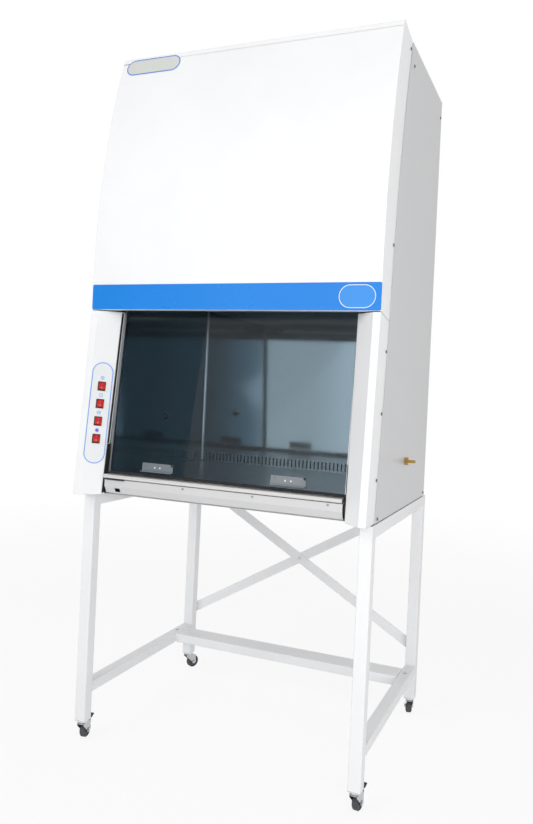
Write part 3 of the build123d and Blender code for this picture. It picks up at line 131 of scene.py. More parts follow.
def reflected_card(name, middle, normal, width, height, turn, colour, near, far, near_x, far_x):
    """A glowing card, unseen by the camera and lighting nothing matt, graded from one X to another."""
    bpy.ops.object.select_all(action="DESELECT")
    bpy.ops.mesh.primitive_plane_add(size=1.0, location=(0, 0, 0))
    card = bpy.context.object
    card.name = name
    aim = Vector(normal).to_track_quat("Z", "Y").to_matrix().to_4x4()
    card.data.transform(Matrix.Translation(middle) @ aim @ Matrix.Rotation(turn, 4, "Z")
                        @ Matrix.Diagonal((width, height, 1.0, 1.0)))
    cloth = bpy.data.materials.new(f"{name}_cloth")
    cloth.use_nodes = True
    tree = cloth.node_tree
    tree.nodes.clear()
    place = add_node(tree, "ShaderNodeTexCoord")
    across = add_node(tree, "ShaderNodeSeparateXYZ", {0: place.outputs["Object"]})
    grade = add_node(tree, "ShaderNodeMapRange", {"Value": across.outputs["X"], "From Min": near_x,
                                                  "From Max": far_x, "To Min": near, "To Max": far},
                     interpolation_type="SMOOTHSTEP")
    glow = add_node(tree, "ShaderNodeEmission", {"Color": colour, "Strength": grade.outputs[0]})
    add_node(tree, "ShaderNodeOutputMaterial", {"Surface": glow.outputs[0]})
    card.data.materials.append(cloth)
    card.visible_camera = False
    card.visible_diffuse = False
    card.visible_shadow = False


reflected_card("studio_flag", middle=(2.2, -3.1, 1.3), normal=(-0.5, 0.866, 0.0), width=2.6, height=2.8,
               turn=0.0, colour=(0.74, 1.0, 1.16, 1.0), near=0.52, far=0.14, near_x=1.10, far_x=1.50)
reflected_card("left_flag", middle=(-2.35, -3.0, 1.7), normal=(0.0, 1.0, 0.0), width=1.6, height=2.4,
               turn=0.0, colour=(0.6, 0.85, 1.0, 1.0), near=0.35, far=0.60, near_x=-2.0, far_x=-1.6)
reflected_card("studio_card", middle=(-0.49, -3.0, 0.82), normal=(0.0, 1.0, 0.0), width=1.6, height=2.4,
               turn=radians(41.0), colour=(1.0, 1.0, 1.0, 1.0), near=1.05, far=1.40, near_x=-1.10,
               far_x=-0.75)

# The camera stands to the right of the cabinet at chest height.
eye = Vector((1.0428, -2.5338, 1.2399))
camera_turn = 22.836
camera_dip = 0.145
camera_roll = 2.687
camera_data = bpy.data.cameras.new("camera")
camera_data.lens = 32.9
camera_data.sensor_width = 36.0
camera_data.shift_x = 0.0023
camera_data.shift_y = -0.0299
camera = bpy.data.objects.new("camera", camera_data)
camera.matrix_world = (Matrix.Translation(eye) @ Matrix.Rotation(radians(camera_turn), 4, "Z")
                       @ Matrix.Rotation(radians(90 - camera_dip), 4, "X")
                       @ Matrix.Rotation(radians(camera_roll), 4, "Z"))
bpy.context.scene.collection.objects.link(camera)
bpy.context.scene.camera = camera
bpy.context.scene.view_settings.view_transform = "Standard"

# ------------------------------------------------------------------ stand
# Welded square steel tube, mitred at the top corners, with two flat brace bars bolted
# behind the rear legs. It is powder coated in a light off-white.
stand_white = (0.82, 0.825, 0.835, 1.0)
coat_roughness = 0.38
coat_peel = 420.0


def group_socket(group, name, kind, way, value=None):
    made = group.interface.new_socket(name=name, in_out=way, socket_type=kind)
    if value is not None:
        made.default_value = value
    return made


def build_worn_edge():
    """Rounds sharp edges in the shading and tells where they are."""
    group = bpy.data.node_groups.new("worn edge", "ShaderNodeTree")
    group_socket(group, "Radius", "NodeSocketFloat", "INPUT", 0.001)
    group_socket(group, "Edge", "NodeSocketFloat", "OUTPUT")
    group_socket(group, "Normal", "NodeSocketVector", "OUTPUT")
    given = add_node(group, "NodeGroupInput")
    turned = add_node(group, "ShaderNodeBevel", {"Radius": given.outputs["Radius"]}, samples=4)
    flat = add_node(group, "ShaderNodeNewGeometry")
    match = add_node(group, "ShaderNodeVectorMath", {0: turned.outputs[0], 1: flat.outputs["True Normal"]},
                     operation="DOT_PRODUCT")
    edge = add_node(group, "ShaderNodeMapRange", {"Value": match.outputs["Value"], "From Min": 0.995,
                                                  "From Max": 0.90})
    add_node(group, "NodeGroupOutput", {"Edge": edge.outputs[0], "Normal": turned.outputs[0]})
    return group


def build_coat_texture():
    """Fine orange peel of baked powder, with faint clouding of its colour and gloss."""
    group = bpy.data.node_groups.new("coat texture", "ShaderNodeTree")
    group_socket(group, "Colour", "NodeSocketColor", "INPUT")
    group_socket(group, "Clouding", "NodeSocketFloat", "INPUT", 0.03)
    group_socket(group, "Roughness", "NodeSocketFloat", "INPUT", 0.4)
    group_socket(group, "Peel", "NodeSocketFloat", "INPUT", 400.0)
    group_socket(group, "Edge", "NodeSocketFloat", "INPUT", 0.0)
    group_socket(group, "Colour", "NodeSocketColor", "OUTPUT")
    group_socket(group, "Roughness", "NodeSocketFloat", "OUTPUT")
    group_socket(group, "Height", "NodeSocketFloat", "OUTPUT")
    given = add_node(group, "NodeGroupInput")
    where = add_node(group, "ShaderNodeTexCoord").outputs["Object"]
    clouds = add_node(group, "ShaderNodeTexNoise", {"Vector": where, "Scale": 5.0, "Detail": 5.0})
    peel = add_node(group, "ShaderNodeTexNoise", {"Vector": where, "Scale": given.outputs["Peel"],
                                                  "Detail": 2.0, "Roughness": 0.4})
    specks = add_node(group, "ShaderNodeTexVoronoi", {"Vector": where, "Scale": 70.0})
    speck = add_node(group, "ShaderNodeMapRange", {"Value": specks.outputs["Distance"], "From Min": 0.05,
                                                   "From Max": 0.0, "To Max": 0.25})
    swing = add_node(group, "ShaderNodeMapRange", {"Value": clouds.outputs[0], "From Min": 0.3,
                                                   "From Max": 0.7, "To Min": -1.0, "To Max": 1.0})
    depth = add_node(group, "ShaderNodeMath", {0: swing.outputs[0], 1: given.outputs["Clouding"]},
                     operation="MULTIPLY")
    worn = add_node(group, "ShaderNodeMath", {0: given.outputs["Edge"], 1: 0.05}, operation="MULTIPLY")
    lift = add_node(group, "ShaderNodeMath", {0: depth.outputs[0], 1: worn.outputs[0]}, operation="ADD")
    dust = add_node(group, "ShaderNodeMath", {0: lift.outputs[0], 1: speck.outputs[0]}, operation="SUBTRACT")
    value = add_node(group, "ShaderNodeMath", {0: dust.outputs[0], 1: 1.0}, operation="ADD")
    tint = add_node(group, "ShaderNodeVectorMath", {0: given.outputs["Colour"], "Scale": value.outputs[0]},
                    operation="SCALE")
    rough = add_node(group, "ShaderNodeMath", {0: depth.outputs[0], 1: 1.5, 2: given.outputs["Roughness"]},
                     operation="MULTIPLY_ADD")
    add_node(group, "NodeGroupOutput", {"Colour": tint.outputs[0], "Roughness": rough.outputs[0],
                                        "Height": peel.outputs[0]})
    return group


worn_edge = build_worn_edge()
coat_texture = build_coat_texture()


def blank_finish(name, **plain):
    """A material with an empty Principled shader; plain values go on its own sockets."""
    made = bpy.data.materials.new(name)
    made.use_nodes = True
    shader = made.node_tree.nodes["Principled BSDF"]
    for socket, value in plain.items():
        shader.inputs[socket.replace("_", " ")].default_value = value
    return made, made.node_tree, shader


def bump_onto(tree, shader, height, distance, strength=1.0, base_normal=None):
    bump = add_node(tree, "ShaderNodeBump", {"Height": height, "Distance": distance, "Strength": strength})
    if base_normal is not None:
        tree.links.new(base_normal, bump.inputs["Normal"])
    tree.links.new(bump.outputs[0], shader.inputs["Normal"])


def powder_coat(name, colour, roughness=coat_roughness, peel=coat_peel, clouding=0.02, round_off=0.0012):
    made, tree, shader = blank_finish(name, Coat_Weight=0.0, IOR=1.5)
    edge = add_node(tree, "ShaderNodeGroup", node_tree=worn_edge)
    edge.inputs["Radius"].default_value = round_off
    coat = add_node(tree, "ShaderNodeGroup", node_tree=coat_texture)
    coat.inputs["Colour"].default_value = colour
    coat.inputs["Roughness"].default_value = roughness
    coat.inputs["Peel"].default_value = peel
    coat.inputs["Clouding"].default_value = clouding
    tree.links.new(edge.outputs["Edge"], coat.inputs["Edge"])
    tree.links.new(coat.outputs["Colour"], shader.inputs["Base Color"])
    tree.links.new(coat.outputs["Roughness"], shader.inputs["Roughness"])
    bump_onto(tree, shader, coat.outputs["Height"], 0.00006, 0.6, edge.outputs["Normal"])
    return made


def dress(nodes, finish):
    """Gives carried-over nodes of the frame their finish."""
    for name in nodes:
        mesh = frame["nodes"][name].data
        mesh.materials.clear()
        mesh.materials.append(finish)


stand_coat = powder_coat("stand_coat", stand_white)
dress(("stand_legs", "stand_rails", "stand_rear_stretcher", "stand_braces"), stand_coat)

# Zinc-plated hexagon bolts hold the braces, the low rails and the stretcher.
# Black rubber strips lie between the stand and the cabinet's floor.
zinc = (0.60, 0.61, 0.62, 1.0)
strip_black = (0.018, 0.018, 0.020, 1.0)


def build_metal_grain():
    """Long fine scratches along one axis, with a slower change of gloss under them."""
    group = bpy.data.node_groups.new("metal grain", "ShaderNodeTree")
    group_socket(group, "Colour", "NodeSocketColor", "INPUT")
    group_socket(group, "Stretch", "NodeSocketVector", "INPUT")
    group_socket(group, "Roughness", "NodeSocketFloat", "INPUT", 0.3)
    group_socket(group, "Spread", "NodeSocketFloat", "INPUT", 0.1)
    group_socket(group, "Edge", "NodeSocketFloat", "INPUT", 0.0)
    group_socket(group, "Colour", "NodeSocketColor", "OUTPUT")
    group_socket(group, "Roughness", "NodeSocketFloat", "OUTPUT")
    group_socket(group, "Height", "NodeSocketFloat", "OUTPUT")
    given = add_node(group, "NodeGroupInput")
    where = add_node(group, "ShaderNodeTexCoord").outputs["Object"]
    drawn = add_node(group, "ShaderNodeVectorMath", {0: where, 1: given.outputs["Stretch"]},
                     operation="MULTIPLY")
    lines = add_node(group, "ShaderNodeTexNoise", {"Vector": drawn.outputs[0], "Scale": 1.0,
                                                   "Detail": 4.0, "Roughness": 0.65})
    marks = add_node(group, "ShaderNodeTexNoise", {"Vector": where, "Scale": 9.0, "Detail": 6.0})
    line = add_node(group, "ShaderNodeMapRange", {"Value": lines.outputs[0], "From Min": 0.25,
                                                  "From Max": 0.75, "To Min": -1.0, "To Max": 1.0})
    mark = add_node(group, "ShaderNodeMapRange", {"Value": marks.outputs[0], "From Min": 0.35,
                                                  "From Max": 0.75, "To Min": -0.5, "To Max": 1.0})
    swing = add_node(group, "ShaderNodeMath", {0: line.outputs[0], 1: mark.outputs[0]}, operation="ADD")
    rough = add_node(group, "ShaderNodeMath", {0: swing.outputs[0], 1: given.outputs["Spread"],
                                               2: given.outputs["Roughness"]}, operation="MULTIPLY_ADD")
    shade = add_node(group, "ShaderNodeMath", {0: line.outputs[0], 1: 0.05, 2: 1.0},
                     operation="MULTIPLY_ADD")
    rubbed = add_node(group, "ShaderNodeMath", {0: given.outputs["Edge"], 1: 0.12, 2: shade.outputs[0]},
                      operation="MULTIPLY_ADD")
    tint = add_node(group, "ShaderNodeVectorMath", {0: given.outputs["Colour"], "Scale": rubbed.outputs[0]},
                    operation="SCALE")
    add_node(group, "NodeGroupOutput", {"Colour": tint.outputs[0], "Roughness": rough.outputs[0],
                                        "Height": lines.outputs[0]})
    return group


metal_grain = build_metal_grain()


def bare_metal(name, colour, stretch, roughness, spread, depth=0.00003, round_off=0.0006):
    made, tree, shader = blank_finish(name, Metallic=1.0)
    edge = add_node(tree, "ShaderNodeGroup", node_tree=worn_edge)
    edge.inputs["Radius"].default_value = round_off
    grain = add_node(tree, "ShaderNodeGroup", node_tree=metal_grain)
    grain.inputs["Colour"].default_value = colour
    grain.inputs["Stretch"].default_value = stretch
    grain.inputs["Roughness"].default_value = roughness
    grain.inputs["Spread"].default_value = spread
    tree.links.new(edge.outputs["Edge"], grain.inputs["Edge"])
    tree.links.new(grain.outputs["Colour"], shader.inputs["Base Color"])
    tree.links.new(grain.outputs["Roughness"], shader.inputs["Roughness"])
    bump_onto(tree, shader, grain.outputs["Height"], depth, 0.5, edge.outputs["Normal"])
    return made


def moulded(name, colour, roughness, peel=900.0, clouding=0.04, round_off=0.0006, **plain):
    """Moulded plastic or rubber: matt skin with a fine texture and softened edges."""
    made, tree, shader = blank_finish(name, **plain)
    edge = add_node(tree, "ShaderNodeGroup", node_tree=worn_edge)
    edge.inputs["Radius"].default_value = round_off
    skin = add_node(tree, "ShaderNodeGroup", node_tree=coat_texture)
    skin.inputs["Colour"].default_value = colour
    skin.inputs["Roughness"].default_value = roughness
    skin.inputs["Peel"].default_value = peel
    skin.inputs["Clouding"].default_value = clouding
    tree.links.new(edge.outputs["Edge"], skin.inputs["Edge"])
    tree.links.new(skin.outputs["Colour"], shader.inputs["Base Color"])
    tree.links.new(skin.outputs["Roughness"], shader.inputs["Roughness"])
    bump_onto(tree, shader, skin.outputs["Height"], 0.00008, 0.7, edge.outputs["Normal"])
    return made


plated_bolt = bare_metal("plated_bolt", zinc, (900.0, 900.0, 900.0), 0.34, 0.10)
strip_rubber = moulded("strip_rubber", strip_black, 0.72)
dress(("stand_bolts",), plated_bolt)
dress(("stand_pads",), strip_rubber)

# ------------------------------------------------------------------ casters
# Swivel casters under the four legs: chromed pressed forks, zinc races, dark
# polyurethane tyres, and on the two front ones a black foot brake.
chrome = (0.48, 0.49, 0.51, 1.0)
tyre_grey = (0.055, 0.058, 0.064, 1.0)
pedal_black = (0.025, 0.025, 0.027, 1.0)

fork_chrome = bare_metal("fork_chrome", chrome, (500.0, 500.0, 500.0), 0.13, 0.06)
race_zinc = bare_metal("race_zinc", (0.66, 0.67, 0.68, 1.0), (600.0, 600.0, 600.0), 0.30, 0.10)
pedal_plastic = moulded("pedal_plastic", pedal_black, 0.48)
dress(("leg_caps",), race_zinc)
for corner in ("front_left", "front_right", "rear_left", "rear_right"):
    dress((f"caster_fork_{corner}",), fork_chrome)
    tyre = moulded(f"tyre_{corner}", tyre_grey, 0.62, peel=700.0)
    dress((f"caster_wheel_{corner}",), tyre)
for corner in ("front_left", "front_right"):
    dress((f"caster_brake_{corner}",), pedal_plastic)

# ------------------------------------------------------------------ cabinet shell
# Folded sheet steel in glossy white powder coat: flat sides, back, floor and roof,
# and a curved cover that laps over the side sheets with screws and rivets. The sides,
# back, floor and roof get a darker grey copy of the white as painted shade.
cabinet_white = (0.86, 0.865, 0.875, 1.0)
# A darker grey copy of the cabinet white: painted shade for the flat sheets.
shaded_side_white = (0.56, 0.565, 0.575, 1.0)
# The sill's grey is a darker copy of the cabinet white: painted shade.
sill_shaded_grey = (0.60, 0.60, 0.605, 1.0)
shell_coat = powder_coat("shell_coat", cabinet_white, 0.30, 380.0, 0.015, 0.0025)
shaded_side_coat = powder_coat("shaded_side_coat", shaded_side_white, 0.34, 380.0, 0.015, 0.0025)
sill_shaded_coat = powder_coat("sill_shaded_coat", sill_shaded_grey, 0.30, 380.0, 0.02, 0.0015)
dress(("front_cover", "front_posts"), shell_coat)
# The sill takes the painted-shade grey.
dress(("sill_panel",), sill_shaded_coat)
# The sides, back, floor and roof take the painted-shade grey.
dress(("side_panels", "back_panel", "bottom_panel", "top_panel"), shaded_side_coat)
rivet_white = powder_coat("rivet_white", (0.80, 0.80, 0.80, 1.0), 0.35, 800.0, 0.03, 0.0005)
dark_screw = bare_metal("dark_screw", (0.16, 0.165, 0.175, 1.0), (900.0, 900.0, 900.0), 0.40, 0.12)
dress(("cover_rivets",), rivet_white)
dress(("side_screws",), dark_screw)
guard_zinc = bare_metal("guard_zinc", (0.62, 0.64, 0.66, 1.0), (40.0, 40.0, 40.0), 0.42, 0.12)
dress(("exhaust_guard",), guard_zinc)
inlet_plastic = moulded("inlet_plastic", (0.02, 0.02, 0.022, 1.0), 0.45)
dress(("power_inlet",), inlet_plastic)

# ------------------------------------------------------------------ blue band
# A painted strip across the foot of the cover. At its right end sits a blank plate with
# round ends, in the same blue, with a white line printed round it.
band_blue = (0.006, 0.215, 0.70, 1.0)
badge_blue = (0.040, 0.270, 0.74, 1.0)
line_white = (0.84, 0.86, 0.88, 1.0)
badge_length = 0.112
badge_height = 0.069
badge_line = 0.0017
badge_thick = 0.0008
badge_from_end = 0.0725

band_coat = powder_coat("band_coat", band_blue, 0.26, 420.0, 0.03, 0.0012)
badge_face = powder_coat("badge_face", badge_blue, 0.22, 300.0, 0.03, 0.0004)
badge_print = powder_coat("badge_print", line_white, 0.30, 300.0, 0.02, 0.0004)
dress(("blue_band",), band_coat)


def pick(piece, test):
    """Selects only the faces whose middle and normal pass a test, in edit mode."""
    work = bmesh.from_edit_mesh(piece.data)
    for part in (*work.verts, *work.edges, *work.faces):
        part.select = False
    for face in [face for face in work.faces if test(face.calc_center_median(), face.normal)]:
        face.select = True
    work.select_flush_mode()
    bmesh.update_edit_mesh(piece.data)


def pick_points(piece, test):
    """Selects only the points that pass a test, in edit mode."""
    work = bmesh.from_edit_mesh(piece.data)
    for part in (*work.verts, *work.edges, *work.faces):
        part.select = False
    for point in work.verts:
        point.select = test(point.co)
    work.select_flush(True)
    bmesh.update_edit_mesh(piece.data)


def use_finish(piece, place):
    """Gives the selected faces one of the piece's finishes, in edit mode."""
    work = bmesh.from_edit_mesh(piece.data)
    for face in work.faces:
        if face.select:
            face.material_index = place
    bmesh.update_edit_mesh(piece.data)


def stretched_disc(name, length, height):
    """A flat disc on Z = 0, pulled out along X into a stadium shape, left in edit mode."""
    bpy.ops.object.select_all(action="DESELECT")
    bpy.ops.mesh.primitive_circle_add(vertices=64, radius=height / 2, fill_type="NGON", location=(0, 0, 0))
    disc = bpy.context.object
    disc.name = name
    bpy.ops.object.mode_set(mode="EDIT")
    for side in (-1, 1):
        pick_points(disc, lambda p: p.x * side > 1e-5)
        bpy.ops.transform.translate(value=(side * (length - height) / 2, 0, 0))
    return disc


def lined_plate(name, length, height, thick, line, finishes):
    """A plate with round ends on Z = 0: a raised line round its rim, and a blank face."""
    plate = stretched_disc(name, length, height)
    for finish in finishes:
        plate.data.materials.append(finish)
    bpy.ops.mesh.select_all(action="SELECT")
    bpy.ops.mesh.extrude_region_move(TRANSFORM_OT_translate={"value": (0, 0, thick)})
    bpy.ops.mesh.select_all(action="SELECT")
    bpy.ops.mesh.normals_make_consistent(inside=False)
    pick(plate, lambda middle, normal: normal.z > 0.9)
    bpy.ops.mesh.inset(thickness=line, depth=0)
    bpy.ops.mesh.inset(thickness=thick * 0.3, depth=-thick * 0.3)
    use_finish(plate, 1)
    bpy.ops.object.mode_set(mode="OBJECT")
    return plate


def set_down(piece, matrix, body):
    """Puts a finished mesh in its place and ties it to its body."""
    piece.data.transform(matrix)
    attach(piece, body)


band_low, band_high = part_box("blue_band")
badge = lined_plate("band_badge", badge_length, badge_height, badge_thick, badge_line,
                    (badge_print, badge_face))
badge_place = (band_high.x - badge_from_end, band_low.y, (band_low.z + band_high.z) / 2)
set_down(badge, Matrix.Translation(badge_place)
         @ Matrix.Rotation(radians(90), 4, "X"), "cabinet")

# ------------------------------------------------------------------ corner plate
# A thin blank name plate with a blue line, stuck on the cover's top left corner, where
# the cover leans back.
corner_length = 0.212
corner_height = 0.062
corner_line = 0.0036
corner_from_side = 0.125
corner_from_top = 0.0385
cover_lean = 16.8
cover_over_band = 0.001
corner_sink = 0.0001
plate_grey = (0.62, 0.635, 0.60, 1.0)
plate_line_blue = (0.09, 0.22, 0.66, 1.0)

corner_face = powder_coat("corner_face", plate_grey, 0.34, 260.0, 0.05, 0.0004)
corner_print = powder_coat("corner_print", plate_line_blue, 0.34, 260.0, 0.04, 0.0004)
cover_low, cover_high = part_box("front_cover")
cover_radius = 2.690
cover_rise = cover_high.z - corner_from_top - band_high.z - cover_over_band
cover_depth = cover_radius - (cover_radius ** 2 - cover_rise ** 2) ** 0.5
corner_plate = lined_plate("corner_plate", corner_length, corner_height, badge_thick, corner_line,
                           (corner_print, corner_face))
corner_place = (cover_low.x + corner_from_side, cover_low.y + cover_depth - corner_sink,
                cover_high.z - corner_from_top)
set_down(corner_plate, Matrix.Translation(corner_place)
         @ Matrix.Rotation(radians(90 - cover_lean), 4, "X"), "cabinet")

# ------------------------------------------------------------------ switch panel
# A pale printed plate with round ends on the left post, with a blue line round it, a
# round picture over each switch, and four red rockers in black bezels.
panel_grey = (0.80, 0.82, 0.83, 1.0)
panel_line_blue = (0.16, 0.36, 0.86, 1.0)
panel_line = 0.0030
panel_print_thick = 0.0003
picture_radius = 0.0062
picture_above = 0.0285
picture_blue = (0.22, 0.42, 0.90, 1.0)
lamp_violet = (0.10, 0.09, 0.62, 1.0)
rocker_red = (0.56, 0.004, 0.004, 1.0)
mark_pale = (0.62, 0.26, 0.24, 1.0)
bezel_black = (0.016, 0.016, 0.017, 1.0)
switch_names = ("blower", "lamp", "uv", "outlet")
panel_wide = 0.070
panel_trim = 0.0004
picture_line = 0.0017
blade_length = 0.0040
blade_wide = 0.0018
blade_offset = (0.0022, 0.0006, 0)
tube_length = 0.0070
tube_wide = 0.0022
tube_apart = 0.0026
dome_long = 0.0078
dome_wide = 0.0072

panel_print = moulded("panel_print", panel_grey, 0.42, peel=500.0, clouding=0.02, round_off=0.0008)
panel_blue = moulded("panel_blue", panel_line_blue, 0.42, peel=500.0, clouding=0.03)
picture_ink = moulded("picture_ink", picture_blue, 0.45, peel=500.0, clouding=0.05)
lamp_ink = moulded("lamp_ink", lamp_violet, 0.45, peel=500.0, clouding=0.05)
bezel_plastic = moulded("bezel_plastic", bezel_black, 0.36, peel=1200.0)
rocker_plastic = moulded("rocker_plastic", rocker_red, 0.24, peel=1200.0, clouding=0.03, Coat_Weight=0.3)
mark_ink = moulded("mark_ink", mark_pale, 0.5, peel=900.0)
dress(("control_plate",), panel_print)
dress(("switch_bezels",), bezel_plastic)
dress([f"rocker_{name}" for name in switch_names], rocker_plastic)


def facing(node):
    """Mean place and normal of the large flat face of a plate that looks out to the front."""
    mesh = frame["nodes"][node].data
    outward = [face for face in mesh.polygons if face.normal.y < -0.5 and abs(face.normal.z) < 0.3]
    area = sum(face.area for face in outward)
    normal = sum((face.normal * face.area for face in outward), Vector()) / area
    place = sum((face.center * face.area for face in outward), Vector()) / area
    return place, normal.normalized()


panel_place, panel_normal = facing("control_plate")
joints = {joint["name"]: joint for joint in frame["joints"]}
panel_across = Vector(joints["rocker_blower_tilt"]["axis"])
panel_up = panel_normal.cross(panel_across)


def on_panel(place):
    """Matrix that lays a flat piece on the panel's plane at a place, its +Y up the panel."""
    turn = Matrix((panel_across, panel_up, panel_normal)).transposed().to_4x4()
    return Matrix.Translation(place) @ turn


def flat_ring(name, length, height, line, thick, finish):
    """A closed printed line with round ends on Z = 0."""
    ring = stretched_disc(name, length, height)
    ring.data.materials.append(finish)
    bpy.ops.mesh.select_all(action="SELECT")
    bpy.ops.mesh.inset(thickness=line, depth=0)
    bpy.ops.mesh.delete(type="ONLY_FACE")
    bpy.ops.mesh.select_all(action="SELECT")
    bpy.ops.mesh.extrude_region_move(TRANSFORM_OT_translate={"value": (0, 0, thick)})
    bpy.ops.mesh.select_all(action="SELECT")
    bpy.ops.mesh.normals_make_consistent(inside=False)
    bpy.ops.object.mode_set(mode="OBJECT")
    return ring


def printed_spot(name, length, height, thick, finish):
    """A filled printed spot with round ends and a softened rim on Z = 0."""
    spot = stretched_disc(name, length, height)
    spot.data.materials.append(finish)
    bpy.ops.mesh.select_all(action="SELECT")
    bpy.ops.mesh.extrude_region_move(TRANSFORM_OT_translate={"value": (0, 0, thick)})
    bpy.ops.mesh.select_all(action="SELECT")
    bpy.ops.mesh.normals_make_consistent(inside=False)
    pick(spot, lambda middle, normal: normal.z > 0.9)
    bpy.ops.mesh.inset(thickness=thick, depth=thick * 0.3)
    bpy.ops.object.mode_set(mode="OBJECT")
    return spot


def joined(name, pieces):
    """Makes one mesh of several."""
    bpy.ops.object.select_all(action="DESELECT")
    for piece in pieces:
        piece.select_set(True)
    bpy.context.view_layer.objects.active = pieces[0]
    if len(pieces) > 1:
        bpy.ops.object.join()
    pieces[0].name = name
    return pieces[0]


upright = Matrix.Rotation(radians(90), 4, "Z")
panel_low, panel_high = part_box("control_plate")
panel_long = (panel_high.z - panel_low.z) / panel_up.z - panel_trim
panel_outline = flat_ring("panel_outline", panel_long, panel_wide, panel_line, panel_print_thick,
                          panel_blue)
set_down(panel_outline, on_panel(panel_place) @ upright, "cabinet")

for name in switch_names:
    spot = Vector(joints[f"rocker_{name}_tilt"]["pos_m"]) + panel_up * picture_above
    spot += panel_normal * (panel_place - spot).dot(panel_normal)
    ring = flat_ring(f"picture_{name}", 2 * picture_radius, 2 * picture_radius, picture_line,
                     panel_print_thick, lamp_ink if name == "outlet" else picture_ink)
    symbols = [ring]
    if name == "blower":
        for turn in (0, 120, 240):
            blade = printed_spot("fan_blade", blade_length, blade_wide, panel_print_thick, picture_ink)
            blade.data.transform(Matrix.Rotation(radians(turn), 4, "Z") @ Matrix.Translation(blade_offset))
            symbols.append(blade)
    if name == "uv":
        for side in (-1, 1):
            half = printed_spot("tube_side", tube_length, tube_wide, panel_print_thick, picture_ink)
            half.data.transform(Matrix.Translation((side * tube_apart, 0, 0)) @ upright)
            symbols.append(half)
    if name == "outlet":
        dome = printed_spot("dome", dome_long, dome_wide, panel_print_thick, lamp_ink)
        symbols.append(dome)
    picture = joined(f"picture_{name}", symbols)
    set_down(picture, on_panel(spot), "cabinet")

# Each rocker carries a printed bar on its upper half and a ring on its lower half.
rocker_lean = 7.0
rocker_fall = 9.46
mark_out = 0.0064
mark_along = 0.0060
mark_thick = 0.00025
mark_line = 0.0010
bar_length = 0.0046
ring_size = 0.0056
for name in switch_names:
    pivot = (on_panel(Vector(joints[f"rocker_{name}_tilt"]["pos_m"]))
             @ Matrix.Rotation(radians(-rocker_lean), 4, "X"))
    bar = printed_spot("mark_bar", bar_length, mark_line, mark_thick, mark_ink)
    bar.data.transform(pivot @ Matrix.Translation((0, mark_along, mark_out))
                       @ Matrix.Rotation(radians(rocker_fall), 4, "X") @ upright)
    circle = flat_ring("mark_ring", ring_size, ring_size, mark_line, mark_thick, mark_ink)
    circle.data.transform(pivot @ Matrix.Translation((0, -mark_along, mark_out))
                          @ Matrix.Rotation(radians(-rocker_fall), 4, "X"))
    marks = joined(f"rocker_marks_{name}", [bar, circle])
    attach(marks, f"rocker_{name}")

# ------------------------------------------------------------------ window edges
# The folded posts beside the window are edged with a dark strip. At their feet
# the strip ends in a black block that stops the sash from the side.
strip_brown = (0.020, 0.019, 0.018, 1.0)
stop_and_shadow_black = (0.010, 0.010, 0.011, 1.0)
edge_foot = Vector((0.4240, -0.41798, 0.850))
edge_head = Vector((0.4170, -0.35307, 1.470))
strip_deep = 0.0100
strip_thick = 0.0014
stop_deep = 0.0160
stop_thick = 0.0036
strip_setback = 0.0018
strip_foot = 1.021
strip_head = 1.464
strip_soft = 0.0004
stop_foot = 0.856
stop_head = 1.019
stop_soft = 0.0010

edge_dark_finish = moulded("edge_dark_finish", strip_brown, 0.55, peel=600.0)
# One black for the sash stops, the handle stops and the painted shadow under the lip.
black_stop_and_shadow = moulded("black_stop_and_shadow", stop_and_shadow_black, 0.6, peel=600.0)


def edge_point(z):
    """The post's inner edge at height z, on the right."""
    return edge_foot.lerp(edge_head, (z - edge_foot.z) / (edge_head.z - edge_foot.z))


def upright_bar(name, foot, head, thick, deep, soft, finish):
    """A bar with softened edges between two end points, on the cabinet."""
    bpy.ops.object.select_all(action="DESELECT")
    bpy.ops.mesh.primitive_cube_add(size=1.0, location=(0, 0, 0))
    bar = bpy.context.object
    bar.name = name
    bpy.ops.object.mode_set(mode="EDIT")
    bpy.ops.transform.resize(value=(thick, deep, 1.0))
    for point, end in ((foot, -1), (head, 1)):
        pick_points(bar, lambda p: 0.4 < p.z * end < 0.6)
        bpy.ops.transform.translate(value=(point[0], point[1], point[2] - end * 0.5))
    bpy.ops.mesh.select_all(action="SELECT")
    bpy.ops.mesh.bevel(offset=soft, segments=3)
    bpy.ops.object.mode_set(mode="OBJECT")
    bar.data.materials.append(finish)
    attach(bar, "cabinet")


def beside_edge(side, z, thick, deep):
    """Middle of a bar against the inside of a post's return, at height z."""
    edge = edge_point(z)
    return side * (edge.x - thick / 2), edge.y + strip_setback + deep / 2, z


for side, word in ((-1, "left"), (1, "right")):
    upright_bar(f"edge_strip_{word}", beside_edge(side, strip_foot, strip_thick, strip_deep),
                beside_edge(side, strip_head, strip_thick, strip_deep), strip_thick, strip_deep,
                strip_soft, edge_dark_finish)
    upright_bar(f"sash_stop_{word}", beside_edge(side, stop_foot, stop_thick, stop_deep),
                beside_edge(side, stop_head, stop_thick, stop_deep), stop_thick, stop_deep,
                stop_soft, black_stop_and_shadow)

# ------------------------------------------------------------------ sill
# The painted front under the window, with three pan-head screws, and a black block
# under the left end of the stainless arm rest, standing in for the dark gap there as painted shadow.
screw_first = -0.117
screw_pitch = 0.243
screw_count = 3
screw_z = 0.8968
screw_head = 0.0035
screw_rise = 0.0016
cross_depth = 0.0008
shadow_block_length = 0.072
shadow_block_deep = 0.0085
shadow_block_high = 0.0072
shadow_block_soft = 0.0016
shadow_block_inset = 0.005
shadow_block_ahead = 0.0022
shadow_block_above = 0.0015

lip_steel = bare_metal("lip_steel", (0.80, 0.785, 0.765, 1.0), (6.0, 900.0, 900.0), 0.48, 0.06)
sill_zinc = bare_metal("sill_zinc", (0.42, 0.42, 0.42, 1.0), (900.0, 900.0, 900.0), 0.35, 0.10)
dress(("sill_lip",), lip_steel)


